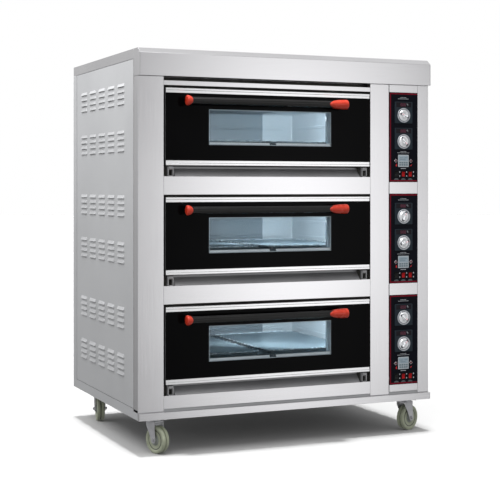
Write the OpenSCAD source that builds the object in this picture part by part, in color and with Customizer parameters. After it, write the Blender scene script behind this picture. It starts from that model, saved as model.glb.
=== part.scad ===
// Three-deck electric deck oven on swivel castors.
// Millimetres, +Z up, the doors face -Y. The origin is on the floor, under the
// middle of the whole oven. Inside the modules Y = 0 is the face of the front posts.

/* [Body] */
// Width of the body
body_w = 1318; // [1200:1:1600]
// Depth of the body behind the front posts
body_d = 930; // [880:1:1200]
// Height from one deck to the next
deck_pitch = 433; // [425:1:540]
// Thickness of the outer sheets
sheet = 2; // [1.5:0.5:3]
// Gap left at a seam between two sheets
seam = 0.4; // [0.2:0.1:0.8]

/* [Base] */
// Height of the base frame's underside above the floor
base_z = 140; // [125:1:200]
// Height of the base frame
base_h = 38; // [30:1:60]
// Thickness of the base frame's bottom sheet
base_floor = 3; // [2:0.5:6]
// Height of the front plinth
plinth_h = 28; // [20:1:36]
// How far the plinth stands in front of the posts
plinth_out = 16; // [5:1:40]

/* [Top] */
// Height of the visor over the top deck
visor_h = 110; // [80:1:160]
// How far the visor stands in front of the posts
visor_out = 20; // [5:1:50]
// Depth of the visor from its front to the top cover
visor_d = 75; // [60:1:120]
// Height of the bevel at the visor's top edge
bevel_h = 20; // [5:1:40]
// Depth of that bevel
bevel_d = 27; // [5:1:50]
// Height of the top cover's side band
cover_h = 40; // [25:1:70]

/* [Front] */
// Width of the left front post
left_post_w = 107; // [60:1:160]
// Width of the bay that the doors close
door_bay_w = 926; // [900:1:1000]
// Width of the post between the doors and the controls
mid_post_w = 90; // [50:1:120]
// Width of the bay of the control panels
control_bay_w = 142; // [132:1:180]
// Depth of the posts' side returns at the body's sides
post_return = 55; // [50:1:90]
// Depth of the rails and of the posts' inner returns
rail_d = 45; // [40:1:48]
// Height of a rail between two decks
rail_h = 73; // [50:1:90]
// Height of the rail under the lowest deck
bottom_rail_h = 54; // [40:1:90]
// Gap between the plinth and the lowest rail
plinth_gap = 8; // [4:1:20]
// Height of the header bar over the top door
header_h = 19; // [12:1:30]
// Gap between the header bar and the visor
header_gap = 15; // [5:1:20]
// Height of the recess between a rail and the door over it
recess_h = 43; // [38:1:60]
// Width of the rear corner strips on the sides
corner_strip = 52; // [30:1:80]

/* [Doors] */
// Height of a door
door_h = 307; // [290:1:330]
// Gap between a door's end and the post
door_side_gap = 7; // [3:0.5:12]
// Depth of the door's casing
door_d = 45; // [35:1:45]
// Thickness of the black front glass
glass_t = 5; // [3:0.5:8]
// Thickness of the inner window pane
pane_t = 4; // [3:0.5:6]
// Wall of the door's casing
casing_wall = 1.5; // [1:0.25:3]
// Height of the bright trims along the door's top and bottom
trim_h = 20; // [12:1:30]
// How far the trims stand in front of the glass
trim_out = 2; // [1:0.5:4]
// Width of the window
window_w = 544; // [400:1:640]
// Height of the window
window_h = 140; // [100:1:180]
// Height of the window's bottom edge over the door's bottom edge
window_rise = 84; // [60:1:110]
// Gap between the door's back and the oven mouth
mouth_gap = 0.5; // [0.3:0.1:2]
// Radius of the door's hinge pins
hinge_pin_r = 4; // [3:0.5:6]
// Depth of the hinge axis behind the posts' face
hinge_back = 6; // [4:1:12]
// Drop of the hinge axis below the door's bottom edge
hinge_drop = 10; // [9:1:14]

/* [Handles] */
// Radius of the handle bar
bar_r = 14; // [10:0.5:18]
// Distance from the glass to the bar's axis
bar_reach = 40; // [30:1:60]
// Height of the bar over the door's bottom edge
bar_rise = 256; // [220:1:275]
// Left end of the handle, measured from the middle of the door
handle_left = 385; // [300:1:420]
// Right end of the handle, measured from the middle of the door
handle_right = 330; // [280:1:420]
// Radius of the coloured end caps
cap_r = 20; // [16:0.5:24]
// Length of the left end cap
left_cap_l = 24; // [18:1:100]
// Length of the right end cap
right_cap_l = 88; // [40:1:110]
// Radius of the handle's stand-offs
standoff_r = 9; // [6:0.5:12]

/* [Chambers] */
// Width inside a baking chamber
chamber_w = 860; // [846:1:876]
// Depth inside a baking chamber
chamber_d = 650; // [620:1:700]
// Height inside a baking chamber
chamber_h = 200; // [170:1:215]
// Wall of the chamber liner
liner = 3; // [2:0.5:4]
// Height of the chamber floor over the door's bottom edge
floor_rise = 55; // [50:1:70]
// Width of the face frame round the mouth
face_frame = 24; // [15:1:25]
// Radius of a heating element's tube
heater_r = 5; // [3:0.5:8]
// Elements above and below each chamber
heaters_each = 4; // [2:1:8]
// Thickness of the insulation at the chamber's right
right_wool = 57; // [30:1:60]
// Thickness of the insulation behind the chambers
back_wool = 120; // [60:1:130]

/* [Pans] */
// Width of a baking pan inside its rim
pan_w = 398; // [300:1:400]
// Length of a baking pan, front to back
pan_l = 598; // [400:1:600]
// Height of a pan
pan_h = 50; // [30:1:80]
// Wall of a pan
pan_wall = 1.5; // [1:0.25:3]
// Width and height of the rim round a pan
pan_rim = 5; // [3:0.5:8]
// Corner radius of a pan
pan_corner = 26; // [10:1:50]
// Gap between the rims of two pans
pan_gap = 22; // [4:1:30]
// Gap from the oven mouth to the pans
pan_setback = 14; // [8:1:20]

/* [Controls] */
// Height of a control panel
panel_h = 382; // [376:1:400]
// Drop of the panel's bottom edge below the door's bottom edge
panel_drop = 64; // [50:1:70]
// Thickness of the panel's plate
panel_t = 3; // [2:0.5:5]
// Width of a thermostat's front
stat_w = 92; // [80:1:96]
// Height of a thermostat's front
stat_h = 96; // [80:1:100]
// Thickness of a thermostat's front
stat_t = 4; // [3:0.5:8]
// Height of the upper thermostat's middle over the panel's bottom edge
stat_high = 298; // [290:1:310]
// Height of the lower thermostat's middle over the panel's bottom edge
stat_low = 186; // [176:1:190]
// Drop of the dial below the thermostat's middle
dial_drop = 13; // [8:1:15]
// Outer radius of the scale ring
ring_r = 32; // [28:0.5:33]
// Radius of the knob
knob_r = 24; // [16:0.5:26]
// How far the knob stands out from the thermostat's front
knob_out = 12; // [8:0.5:20]
// Radius of the knob's shaft
shaft_r = 3; // [2:0.25:4]
// Height of the timer's middle over the panel's bottom edge
timer_rise = 90; // [80:1:100]
// Width and height of the timer's front
timer_w = 52; // [40:1:56]
// Distance of the indicator lamps from the panel's middle
lamp_offset = 37; // [34:1:48]
// Side of an indicator lamp's diamond bezel
lamp_side = 14; // [11:0.5:14]
// Height of the switches' middle over the panel's bottom edge
switch_rise = 34; // [30:1:40]
// Distance from one switch to the next
switch_pitch = 34; // [26:1:40]
// Width of a switch's frame
switch_w = 20; // [16:0.5:24]
// Height of a switch's frame
switch_h = 28; // [24:0.5:32]
// Tilt of a rocker from its middle position
rocker_tilt = 8; // [4:1:12]

/* [Castors] */
// Radius of a wheel
wheel_r = 54; // [45:1:56]
// Width of a wheel's tread
wheel_w = 34; // [24:1:40]
// Radius of the axle bolt
axle_r = 4; // [3:0.5:6]
// Distance from the swivel axis to the axle
trail = 18; // [10:1:30]
// Distance of the castors from the body's sides
castor_side = 87; // [70:1:120]
// Distance of the front castors from the posts' face
castor_front = 52; // [48:1:120]
// Distance of the rear castors from the body's back
castor_back = 120; // [50:1:160]
// Thickness of the castor's top plate
plate_t = 5; // [3:0.5:8]
// Width of the castor's top plate
plate_w = 95; // [80:1:110]
// Depth of the castor's top plate
plate_d = 76; // [64:1:90]
// Radius of the kingpin
kingpin_r = 5; // [4:0.5:7]

/* [Louvres] */
// Columns of louvres in a group
louvre_columns = 5; // [2:1:6]
// Rows of louvres in a group
louvre_rows = 4; // [2:1:6]
// Length of a louvre's slot
louvre_l = 90; // [60:1:110]
// Height of a louvre's slot
louvre_slot = 5; // [3:0.5:8]
// Distance from one column of louvres to the next
louvre_pitch = 134; // [100:1:150]
// Distance from one row of louvres to the next
louvre_row = 24; // [16:1:30]
// Height of the lowest group's middle above the floor
louvre_low = 332; // [300:1:380]
// Distance between the two groups of one deck
louvre_pair = 190; // [150:1:210]

/* [Back] */
// Height of the cable gland above the floor
gland_z = 250; // [220:1:500]
// Distance of the cable gland from the body's right side
gland_side = 90; // [70:1:200]
// Radius of the hole in the cable gland
gland_bore_r = 7; // [4:0.5:10]
// How far the cable gland stands out from the back
gland_out = 18; // [12:1:30]

/* [Fits] */
// Radial clearance of a pin or shaft in its bore
run_gap = 0.08; // [0.03:0.01:0.1]
// Gap between two faces that move past each other
face_gap = 0.3; // [0.2:0.05:0.5]
// Gap round a piece that is let into a cut-out
cutout_gap = 0.5; // [0.3:0.1:1]

/* [Hidden] */
$fn = 64;
tiny = 0.01;
DECKS = ["lower", "middle", "upper"];
SIDES = ["front_left", "front_right", "rear_left", "rear_right"];
STATS = ["bottom_heat", "top_heat"];
SWITCHES = ["lamp", "power", "timer"];
stat_heights = [stat_low, stat_high];

// How each dial and castor is turned: dials by deck, lower then upper thermostat
dial_turns = [[45, 128], [75, 25], [138, -69]];
castor_turns = [-68.5, 21.5, -100.5, 200];

// Heights
lowest_rail_z = base_z + plinth_h + plinth_gap;
first_door_z = lowest_rail_z + bottom_rail_h + recess_h;
top_door_z = first_door_z + 2 * deck_pitch;
door_gap = deck_pitch - door_h - rail_h - recess_h;
header_z = top_door_z + door_h + door_gap;
visor_z = header_z + header_h + header_gap;
body_h = visor_z + visor_h;
cover_z = body_h - cover_h;
base_top = base_z + base_h;

// Widths, from the left side of the body to the right
half_w = body_w / 2;
bay_left = -half_w + left_post_w;
bay_right = bay_left + door_bay_w;
bay_x = (bay_left + bay_right) / 2;
controls_left = bay_right + mid_post_w;
controls_right = controls_left + control_bay_w;
controls_x = (controls_left + controls_right) / 2;

// Depths: the whole oven, handles and gland included, is centred on the origin
handle_y = -glass_t - bar_reach;
front_reach = -handle_y + cap_r;
front_y = (front_reach - body_d - gland_out) / 2;
mouth_y = door_d + mouth_gap;
chamber_y = mouth_y + liner;
chamber_back = chamber_y + chamber_d;
wool_back = chamber_back + liner + back_wool;

// Doors
door_w = door_bay_w - 2 * door_side_gap;
hinge_y = hinge_back;
knuckle_r = hinge_drop - face_gap - 1;
knuckle_w = 16;
ear_t = 4;
ear_y0 = 0;
ear_y1 = hinge_y + 10;
hinge_inset = 14;

// Heater tubes lie in a gap that is just wider than they are
heater_gap = 2 * heater_r + 2 * cutout_gap;
heater_pitch = chamber_d / heaters_each;
heater_levels = [floor_rise - liner - heater_gap / 2,
                 floor_rise + chamber_h + liner + heater_gap / 2];
stud_r = heater_r - 1.5;
stud_l = right_wool + 14;
wool_right = bay_x + chamber_w / 2 + liner + right_wool;
wool_left = -half_w + sheet + 1;

// Castors
crown_t = 5;
race_r = 26;
race_h = 8;
crown_top = base_z - plate_t - race_h - face_gap;
crown_z = crown_top - crown_t;
leg_in = wheel_w / 2 + 4;
leg_t = 3;
leg_r = 13;
nut_h = 5;
bolt_r = 4;
bolt_inset = 12;
bolt_nut_r = 7;
bolt_nut_h = 6;
kingpin_z = crown_z - nut_h - face_gap;

// Rockers
rocker_y = 5;
rocker_h = switch_h - 8;
rocker_w = switch_w - 5.2;
rocker_pin_r = 1.25;

function door_z(d) = first_door_z + d * deck_pitch;
function panel_z(d) = door_z(d) - panel_drop;
function castor_x(k) = (k % 2 == 0 ? -1 : 1) * (half_w - castor_side);
function castor_y(k) = k < 2 ? castor_front : body_d - castor_back;
function heater_y(k) = chamber_y + (k + 0.5) * heater_pitch;
function switch_x(s) = controls_x + (s - 1) * switch_pitch;
function dial_z(d, s) = panel_z(d) + stat_heights[s] - dial_drop;

STATIC_NODES = [
  "base_frame", "front_plinth", "left_side_panel", "right_side_panel",
  "back_panel", "top_cover", "visor", "front_posts", "front_rails", "door_sills",
  "lower_chamber", "middle_chamber", "upper_chamber",
  "lower_pans", "middle_pans", "upper_pans",
  "heating_elements", "insulation", "control_panels", "thermostats",
  "timers", "indicator_lamps", "switch_housings", "electrical_chassis",
  "hinge_brackets", "castor_plates", "cable_gland", "fasteners"
];
DOOR_NODES = [for (d = DECKS) for (n = ["casing", "glass", "handle"]) str(d, "_door_", n)];
KNOB_NODES = [for (d = DECKS) for (s = STATS) str(d, "_", s, "_knob")];
SWITCH_NODES = [for (d = DECKS) for (s = SWITCHES) str(d, "_", s, "_switch")];
CASTOR_NODES = [for (k = SIDES) for (n = ["fork", "wheel"]) str(k, "_", n)];

// ---- Helpers ----

// Moves a piece that was drawn from the posts' face into the oven's own frame
module at_front() {
  translate([0, front_y, 0]) children();
}

// A box from its lowest corner to its highest corner
module block(low, high) {
  translate(low) cube(high - low);
}

// A plate that is drawn in X and Z, with its front face at y
module front_plate(y, t) {
  translate([0, y + t, 0]) rotate([90, 0, 0]) linear_extrude(t) children();
}

// A bar along X whose outline is drawn in Y and Z
module along_x(x0, x1) {
  translate([x0, 0, 0]) rotate([90, 0, 90]) linear_extrude(x1 - x0) children();
}

// A rectangle from its lowest corner to its highest corner
module area(low, high) {
  translate(low) square(high - low);
}

// A rectangle with round corners, drawn about its middle
module round_area(w, h, r) {
  square([w - 2 * r, h], center = true);
  square([w, h - 2 * r], center = true);
  for (x = [-1, 1], y = [-1, 1])
    translate([x * (w / 2 - r), y * (h / 2 - r)]) circle(r);
}

// A rod along X or Y
module rod_x(r, x0, x1) {
  translate([x0, 0, 0]) rotate([0, 90, 0]) cylinder(h = x1 - x0, r = r);
}
module rod_y(r, y0, y1) {
  translate([0, y0, 0]) rotate([-90, 0, 0]) cylinder(h = y1 - y0, r = r);
}

// ---- Base ----

// Bottom tray of the body, with the holes for the castors' bolts
module base_frame() {
  color("silver") at_front() difference() {
    block([-half_w, sheet, base_z], [half_w, body_d, base_top]);
    block([-half_w + base_floor, sheet + base_floor, base_z + base_floor],
          [half_w - base_floor, body_d - base_floor, base_top + 1]);
    for (k = [0:3])
      castor_bolts(k)
        translate([0, 0, base_z - 1]) cylinder(h = base_floor + 2, r = bolt_r + run_gap);
  }
}

// The four bolt places of castor k
module castor_bolts(k) {
  for (x = [-1, 1], y = [-1, 1])
    translate([castor_x(k) + x * (plate_w / 2 - bolt_inset),
               castor_y(k) + y * (plate_d / 2 - bolt_inset), 0]) children();
}

// Folded channel along the front of the base
module front_plinth() {
  color("gainsboro") at_front() difference() {
    block([-half_w, -plinth_out, base_z], [half_w, sheet, base_z + plinth_h]);
    block([-half_w + sheet, -plinth_out + sheet, base_z + sheet],
          [half_w - sheet, sheet + 1, base_z + plinth_h - sheet]);
  }
}

// ---- Outer panels ----

// Middle heights of the six louvre groups
louvre_heights = [for (d = [0:2]) for (g = [0, 1])
  louvre_low + d * (deck_pitch + 19) + g * louvre_pair];
louvre_y0 = body_d - 133 - louvre_l - (louvre_columns - 1) * louvre_pitch;

// Side sheet with rows of louvre slots, drawn at the body's left side
module side_sheet() {
  y0 = post_return + seam;
  y1 = body_d - corner_strip - seam;
  translate([-half_w, 0, 0]) along_x(0, sheet) difference() {
    area([y0, base_top], [y1, cover_z]);
    for (zm = louvre_heights, row = [0:louvre_rows - 1], col = [0:louvre_columns - 1])
      translate([louvre_y0 + col * louvre_pitch,
                 zm + (row - (louvre_rows - 1) / 2) * louvre_row - louvre_slot / 2])
        square([louvre_l, louvre_slot]);
  }
}

module left_side_panel() {
  color("lightgray") at_front() side_sheet();
}

module right_side_panel() {
  color("lightgray") at_front() mirror([1, 0, 0]) side_sheet();
}

// Back sheet with folded corner strips, vent slots and the hole for the gland
module back_panel() {
  color("lightgray") at_front() difference() {
    block([-half_w, body_d - corner_strip, base_top], [half_w, body_d, cover_z]);
    block([-half_w + sheet, body_d - corner_strip - 1, base_top - 1],
          [half_w - sheet, body_d - sheet, cover_z + 1]);
    translate([half_w - gland_side, 0, gland_z])
      rod_y(gland_bore_r + 4 + cutout_gap, body_d - sheet - 1, body_d + 1);
    for (d = [0:2], row = [0:7])
      translate([half_w - 190, body_d - sheet - 1, door_z(d) + 60 + row * louvre_row])
        cube([120, sheet + 2, louvre_slot]);
  }
}

// Lid of the body, folded down at its edges
module top_cover() {
  color("gainsboro") at_front() difference() {
    block([-half_w, visor_d - visor_out, cover_z], [half_w, body_d, body_h]);
    block([-half_w + sheet, visor_d - visor_out + sheet, cover_z - 1],
          [half_w - sheet, body_d - sheet, body_h - sheet]);
  }
}

// Outline of the visor in Y and Z, drawn smaller by t all round
module visor_outline(t) {
  slope = t * bevel_h / bevel_d;
  polygon([
    [-visor_out + t, visor_z + t],
    [-visor_out + t, body_h - bevel_h - slope / 2],
    [bevel_d - visor_out + t / 2, body_h - t],
    [visor_d - visor_out - t, body_h - t],
    [visor_d - visor_out - t, visor_z + t]
  ]);
}

// Folded box over the top deck, with a bevelled upper edge
module visor() {
  color("whitesmoke") at_front() difference() {
    along_x(-half_w, half_w) visor_outline(0);
    along_x(-half_w + sheet, half_w - sheet) visor_outline(sheet);
  }
}

// ---- Front ----

// One post: a face, and a return folded back at each edge
module post(x0, x1, left_return, right_return) {
  face_z = base_z + plinth_h;
  union() {
    block([x0, 0, face_z], [x1, sheet, visor_z]);
    block([x0, sheet - tiny, base_top], [x0 + sheet, left_return, visor_z]);
    block([x1 - sheet, sheet - tiny, base_top], [x1, right_return, visor_z]);
  }
}

module front_posts() {
  color("gainsboro") at_front() {
    post(-half_w, bay_left, post_return, rail_d);
    post(bay_right, controls_left, rail_d, rail_d);
    post(controls_right, half_w, rail_d, post_return);
  }
}

// A channel open to the back, from x0 to x1 and z0 to z1
module channel(x0, x1, z0, z1) {
  along_x(x0, x1) difference() {
    area([0, z0], [rail_d, z1]);
    area([sheet, z0 + sheet], [rail_d + 1, z1 - sheet]);
  }
}

// Rails under the doors, the header bar, and the strips round the control panels
module front_rails() {
  strip_left = controls_left + seam;
  strip_right = controls_right - seam;
  color("gainsboro") at_front() {
    channel(bay_left, bay_right, lowest_rail_z + sheet, first_door_z - recess_h);
    for (d = [1, 2])
      channel(bay_left, bay_right, door_z(d) - recess_h - rail_h, door_z(d) - recess_h);
    channel(bay_left, bay_right, header_z, header_z + header_h);
    channel(strip_left, strip_right, base_top + seam, panel_z(0) - seam);
    for (d = [1, 2])
      channel(strip_left, strip_right, panel_z(d - 1) + panel_h + seam, panel_z(d) - seam);
    channel(strip_left, strip_right, panel_z(2) + panel_h + seam, visor_z);
  }
}

// Dark sheets that slope up from the rails to the oven mouths
module door_sills() {
  run = rail_d - 11;
  lift = recess_h - 12;
  color("dimgray") at_front() for (d = [0:2])
    translate([0, 0, door_z(d) - recess_h])
      along_x(bay_left + hinge_inset + knuckle_w + 3 * ear_t + 6,
              bay_right - hinge_inset - knuckle_w - 3 * ear_t - 6)
        polygon([
          [sheet, 0], [run, lift], [run, recess_h - 4], [rail_d, recess_h - 4],
          [rail_d, recess_h - 6], [run + 2, recess_h - 6], [run + 2, lift - 1],
          [sheet + 3, 0]
        ]);
}

// Ears and pins that the doors swing on
module hinge_brackets() {
  color("lightgray") at_front() for (d = [0:2], side = [0, 1])
    translate([bay_x, 0, door_z(d) - hinge_drop]) mirror([side, 0, 0])
      translate([-door_w / 2 + hinge_inset, 0, 0]) hinge_bracket();
}

// One bracket: two ears and a foot, with the pin through them
module hinge_bracket() {
  ear_low = hinge_drop - recess_h;
  out = ear_t + face_gap;
  difference() {
    union() {
      block([-out, ear_y0, ear_low], [-face_gap, ear_y1, 7]);
      block([knuckle_w + face_gap, ear_y0, ear_low], [knuckle_w + out, ear_y1, 7]);
      block([-out, ear_y0, ear_low], [knuckle_w + out, ear_y1, ear_low + 3]);
    }
    translate([0, hinge_y, 0])
      rod_x(hinge_pin_r + run_gap, -out - 1, knuckle_w + out + 1);
  }
  translate([0, hinge_y, 0]) rod_x(hinge_pin_r, -out - 1, knuckle_w + out + 1);
}

// ---- Chambers ----

// Welded liner of one chamber, open at the front, with a face frame round its mouth
module chamber(d) {
  low_x = bay_x - chamber_w / 2;
  high_x = bay_x + chamber_w / 2;
  low_z = door_z(d) + floor_rise;
  high_z = low_z + chamber_h;
  color("lightsteelblue") at_front() difference() {
    union() {
      block([low_x - liner, mouth_y, low_z - liner],
            [high_x + liner, chamber_back + liner, high_z + liner]);
      block([low_x - face_frame, mouth_y, low_z - face_frame],
            [high_x + face_frame, chamber_y, high_z + face_frame]);
    }
    block([low_x, mouth_y - 1, low_z], [high_x, chamber_back, high_z]);
  }
}

// Two pressed pans side by side on the floor of one chamber
module pans(d) {
  step = pan_w / 2 + pan_rim + pan_gap / 2;
  color("lightsteelblue") at_front() for (side = [-1, 1])
    translate([bay_x + side * step, chamber_y + pan_setback + pan_rim + pan_l / 2,
               door_z(d) + floor_rise]) pan();
}

module pan() {
  difference() {
    union() {
      linear_extrude(pan_h) round_area(pan_w, pan_l, pan_corner);
      translate([0, 0, pan_h - pan_rim]) linear_extrude(pan_rim)
        round_area(pan_w + 2 * pan_rim, pan_l + 2 * pan_rim, pan_corner + pan_rim);
    }
    translate([0, 0, pan_wall]) linear_extrude(pan_h)
      round_area(pan_w - 2 * pan_wall, pan_l - 2 * pan_wall, pan_corner - pan_wall);
  }
}

// Straight tubes under and over each chamber, with their studs at the right
module heating_elements() {
  low_x = bay_x - chamber_w / 2;
  high_x = bay_x + chamber_w / 2;
  color("dimgray") at_front()
    for (d = [0:2], level = heater_levels, k = [0:heaters_each - 1])
      translate([0, heater_y(k), door_z(d) + level]) union() {
        rod_x(heater_r, low_x + 12, high_x - 12);
        rod_x(stud_r, high_x - 13, high_x + stud_l);
      }
}

// Mineral-wool slabs between the decks, and a three-sided wrap round each chamber
module insulation() {
  wool_front = chamber_y + cutout_gap;
  pocket_low = floor_rise - liner - heater_gap;
  pocket_high = floor_rise + chamber_h + liner + heater_gap;
  slab_lows = [base_z + base_floor + face_gap, for (d = [0:2]) door_z(d) + pocket_high];
  slab_highs = [for (d = [0:2]) door_z(d) + pocket_low, cover_z - 4];
  slab_fronts = [wool_front, wool_front, wool_front, visor_d - visor_out + face_gap];
  side = chamber_w / 2 + liner + cutout_gap;
  color("khaki") at_front() {
    for (k = [0:3]) difference() {
      block([wool_left + base_floor, slab_fronts[k], slab_lows[k]],
            [wool_right, wool_back, slab_highs[k]]);
      if (k == 0) for (c = [0:3]) castor_bolts(c)
        translate([0, 0, base_z]) cylinder(h = base_floor + bolt_nut_h + 4, r = bolt_nut_r + 2);
    }
    for (d = [0:2]) difference() {
      block([wool_left + base_floor, wool_front, door_z(d) + pocket_low + face_gap],
            [wool_right, wool_back, door_z(d) + pocket_high - face_gap]);
      block([bay_x - side, wool_front - 1, door_z(d) + pocket_low - 1],
            [bay_x + side, chamber_back + liner + cutout_gap, door_z(d) + pocket_high + 1]);
      for (level = heater_levels, k = [0:heaters_each - 1])
        translate([0, heater_y(k), door_z(d) + level])
          rod_x(stud_r + cutout_gap, bay_x, wool_right + 1);
    }
  }
}

// ---- Doors ----

// Bright folded strip along the top or bottom of a door, in two steps
module trim_outline() {
  polygon([
    [0, 0], [-glass_t - trim_out, 0], [-glass_t - trim_out, trim_h * 0.42],
    [-glass_t - trim_out / 3, trim_h * 0.5], [-glass_t - trim_out / 3, trim_h],
    [0, trim_h]
  ]);
}

// Steel casing of a door: a hollow pan with a window tunnel, trims and hinge knuckles
module door_casing(d) {
  w = casing_wall;
  tunnel_low = [-window_w / 2, window_rise];
  color("silver") at_front() translate([bay_x, 0, door_z(d)]) difference() {
    union() {
      difference() {
        block([-door_w / 2, 0, 0], [door_w / 2, door_d, door_h]);
        block([-door_w / 2 + w, w, w], [door_w / 2 - w, door_d - w, door_h - w]);
      }
      front_plate(0, door_d)
        translate(tunnel_low - [w, w]) square([window_w + 2 * w, window_h + 2 * w]);
      along_x(-door_w / 2, door_w / 2) trim_outline();
      translate([0, 0, door_h]) mirror([0, 0, 1])
        along_x(-door_w / 2, door_w / 2) trim_outline();
      for (side = [0, 1]) mirror([side, 0, 0])
        translate([-door_w / 2 + hinge_inset, 0, 0]) knuckle();
    }
    front_plate(-1, door_d + 2) translate(tunnel_low) square([window_w, window_h]);
    for (side = [0, 1]) mirror([side, 0, 0])
      translate([-door_w / 2 + hinge_inset, hinge_y, -hinge_drop])
        rod_x(hinge_pin_r + run_gap, -1, knuckle_w + 1);
  }
}

// Lug under the door's bottom edge that turns on the hinge pin
module knuckle() {
  translate([0, hinge_y, -hinge_drop]) rod_x(knuckle_r, 0, knuckle_w);
  block([0, hinge_y - knuckle_r, -hinge_drop], [knuckle_w, hinge_y + knuckle_r, tiny]);
}

// Black front glass between the trims, and the clear pane at the back of the window
module door_glass(d) {
  pane_gap = face_gap;
  color("black") at_front() translate([bay_x, 0, door_z(d)]) {
    block([-door_w / 2, -glass_t, trim_h], [door_w / 2, 0, door_h - trim_h]);
    block([-window_w / 2 + pane_gap, door_d - pane_t - casing_wall, window_rise + pane_gap],
          [window_w / 2 - pane_gap, door_d - casing_wall,
           window_rise + window_h - pane_gap]);
  }
}

// Bar across the door with two stand-offs and a coloured cap at each end
module door_handle(d) {
  at_front() translate([bay_x, handle_y, door_z(d) + bar_rise]) {
    color("#202020") union() {
      rod_x(bar_r, -handle_left + left_cap_l / 2 + face_gap,
            handle_right - right_cap_l / 2 - face_gap);
      standoff(-handle_left + left_cap_l + 12);
      standoff(handle_right - right_cap_l - 12);
    }
    color("orangered") {
      translate([-handle_left, 0, 0]) end_cap(left_cap_l, left_cap_l / 2);
      translate([handle_right, 0, 0]) mirror([1, 0, 0])
        end_cap(right_cap_l, right_cap_l / 2);
    }
  }
}

module standoff(x) {
  translate([x, 0, 0]) rod_y(standoff_r, 0, bar_reach);
}

// Bullet-shaped cap: blunt at x = 0, round towards +X, with a socket for the bar
module end_cap(len, socket) {
  flat = len * 0.3;
  steps = 8;
  nose = [for (k = [0:steps])
    [bar_r + 1 + (cap_r - bar_r - 1) * cos(90 * k / steps),
     flat + (len - flat) * sin(90 * k / steps)]];
  rotate([0, 90, 0]) difference() {
    rotate_extrude() polygon(concat([[0, 0], [cap_r - 2, 0], [cap_r, 2]], nose, [[0, len]]));
    translate([0, 0, socket]) cylinder(h = len, r = bar_r + run_gap);
  }
}

// ---- Controls ----

// Black plates with cut-outs for everything that is let into them
module control_panels() {
  width = control_bay_w - 2 * seam;
  color("#101018") at_front() for (d = [0:2])
    front_plate(0, panel_t) translate([controls_x, panel_z(d)]) difference() {
      area([-width / 2, 0], [width / 2, panel_h]);
      for (h = stat_heights)
        translate([0, h]) square([stat_w - 4, stat_h - 8], center = true);
      translate([0, timer_rise]) square(timer_w - 4, center = true);
      for (side = [-1, 1]) translate([side * lamp_offset, timer_rise]) circle(4 + run_gap);
      for (s = [0:2]) translate([(s - 1) * switch_pitch, switch_rise])
        square([switch_w - 2, switch_h - 2], center = true);
    }
}

// Two thermostats on each panel, with a scale ring round the knob's bore
module thermostats() {
  bore_depth = 16;
  color("darkslategray") at_front() for (d = [0:2], s = [0, 1])
    translate([controls_x, 0, panel_z(d) + stat_heights[s]]) difference() {
      union() {
        front_plate(-stat_t, stat_t) round_area(stat_w, stat_h, 3);
        front_plate(0, 70) square([stat_w - 4 - 2 * cutout_gap, stat_h - 8 - 2 * cutout_gap],
                                  center = true);
        translate([0, 0, -dial_drop]) rod_y(ring_r, -stat_t - 2, -stat_t + tiny);
      }
      translate([0, 0, -dial_drop]) rod_y(knob_r + cutout_gap, -stat_t - 3, -stat_t);
      translate([0, 0, -dial_drop]) rod_y(shaft_r + run_gap, -stat_t - 1, bore_depth);
      translate([0, -stat_t, stat_h / 2 - 14]) cube([56, 2, 16], center = true);
    }
}

// Round knob with a raised grip and a shaft
module knob(d, s) {
  back = -stat_t - face_gap;
  front = -stat_t - knob_out;
  color("whitesmoke") at_front()
    translate([controls_x, 0, dial_z(d, s)]) rotate([0, dial_turns[d][s], 0]) union() {
      rotate([90, 0, 0]) rotate_extrude() polygon([
        [0, -back], [knob_r, -back], [knob_r, -back + 2], [knob_r - 4, -back + 3.5],
        [knob_r - 6, -front - 4], [knob_r - 7, -front - 3], [0, -front - 3]
      ]);
      block([-4, front, -knob_r + 8], [4, front + 4, knob_r - 8]);
      rod_y(shaft_r, back - tiny, 12);
    }
}

// Timer screens, let into the panels
module timers() {
  color("lightsteelblue") at_front() for (d = [0:2])
    translate([controls_x, 0, panel_z(d) + timer_rise]) union() {
      front_plate(-2, 2) round_area(timer_w, timer_w, 2);
      front_plate(-tiny, 40) square(timer_w - 4 - 2 * cutout_gap, center = true);
    }
}

// Diamond bezels with a round red lens, two on each panel
module indicator_lamps() {
  at_front() for (d = [0:2], side = [-1, 1])
    translate([controls_x + side * lamp_offset, 0, panel_z(d) + timer_rise]) {
      color("silver") difference() {
        front_plate(-2, 2) rotate(45) square(lamp_side, center = true);
        rod_y(4 + run_gap, -3, 1);
      }
      color("darkred") union() {
        rod_y(4, -3, 24);
        translate([0, -3, 0]) intersection() {
          sphere(4);
          rod_y(4, -4, tiny);
        }
      }
    }
}

// Box of one rocker switch, with its frame and pivot pin
module switch_housings() {
  depth = 22;
  inner = [switch_w - 2 - 2 * cutout_gap, switch_h - 2 - 2 * cutout_gap];
  color("#151515") at_front() for (d = [0:2], s = [0:2])
    translate([switch_x(s), 0, panel_z(d) + switch_rise]) {
      difference() {
        union() {
          front_plate(-1.5, 1.5) square([switch_w, switch_h], center = true);
          front_plate(-tiny, depth) square(inner, center = true);
        }
        front_plate(-2, 16) square([rocker_w + 2 * face_gap, rocker_h + 3], center = true);
        translate([0, rocker_y, 0]) rod_x(rocker_pin_r, -inner[0] / 2 - 1, inner[0] / 2 + 1);
      }
      translate([0, rocker_y, 0]) rod_x(rocker_pin_r, -inner[0] / 2, inner[0] / 2);
    }
}

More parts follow.
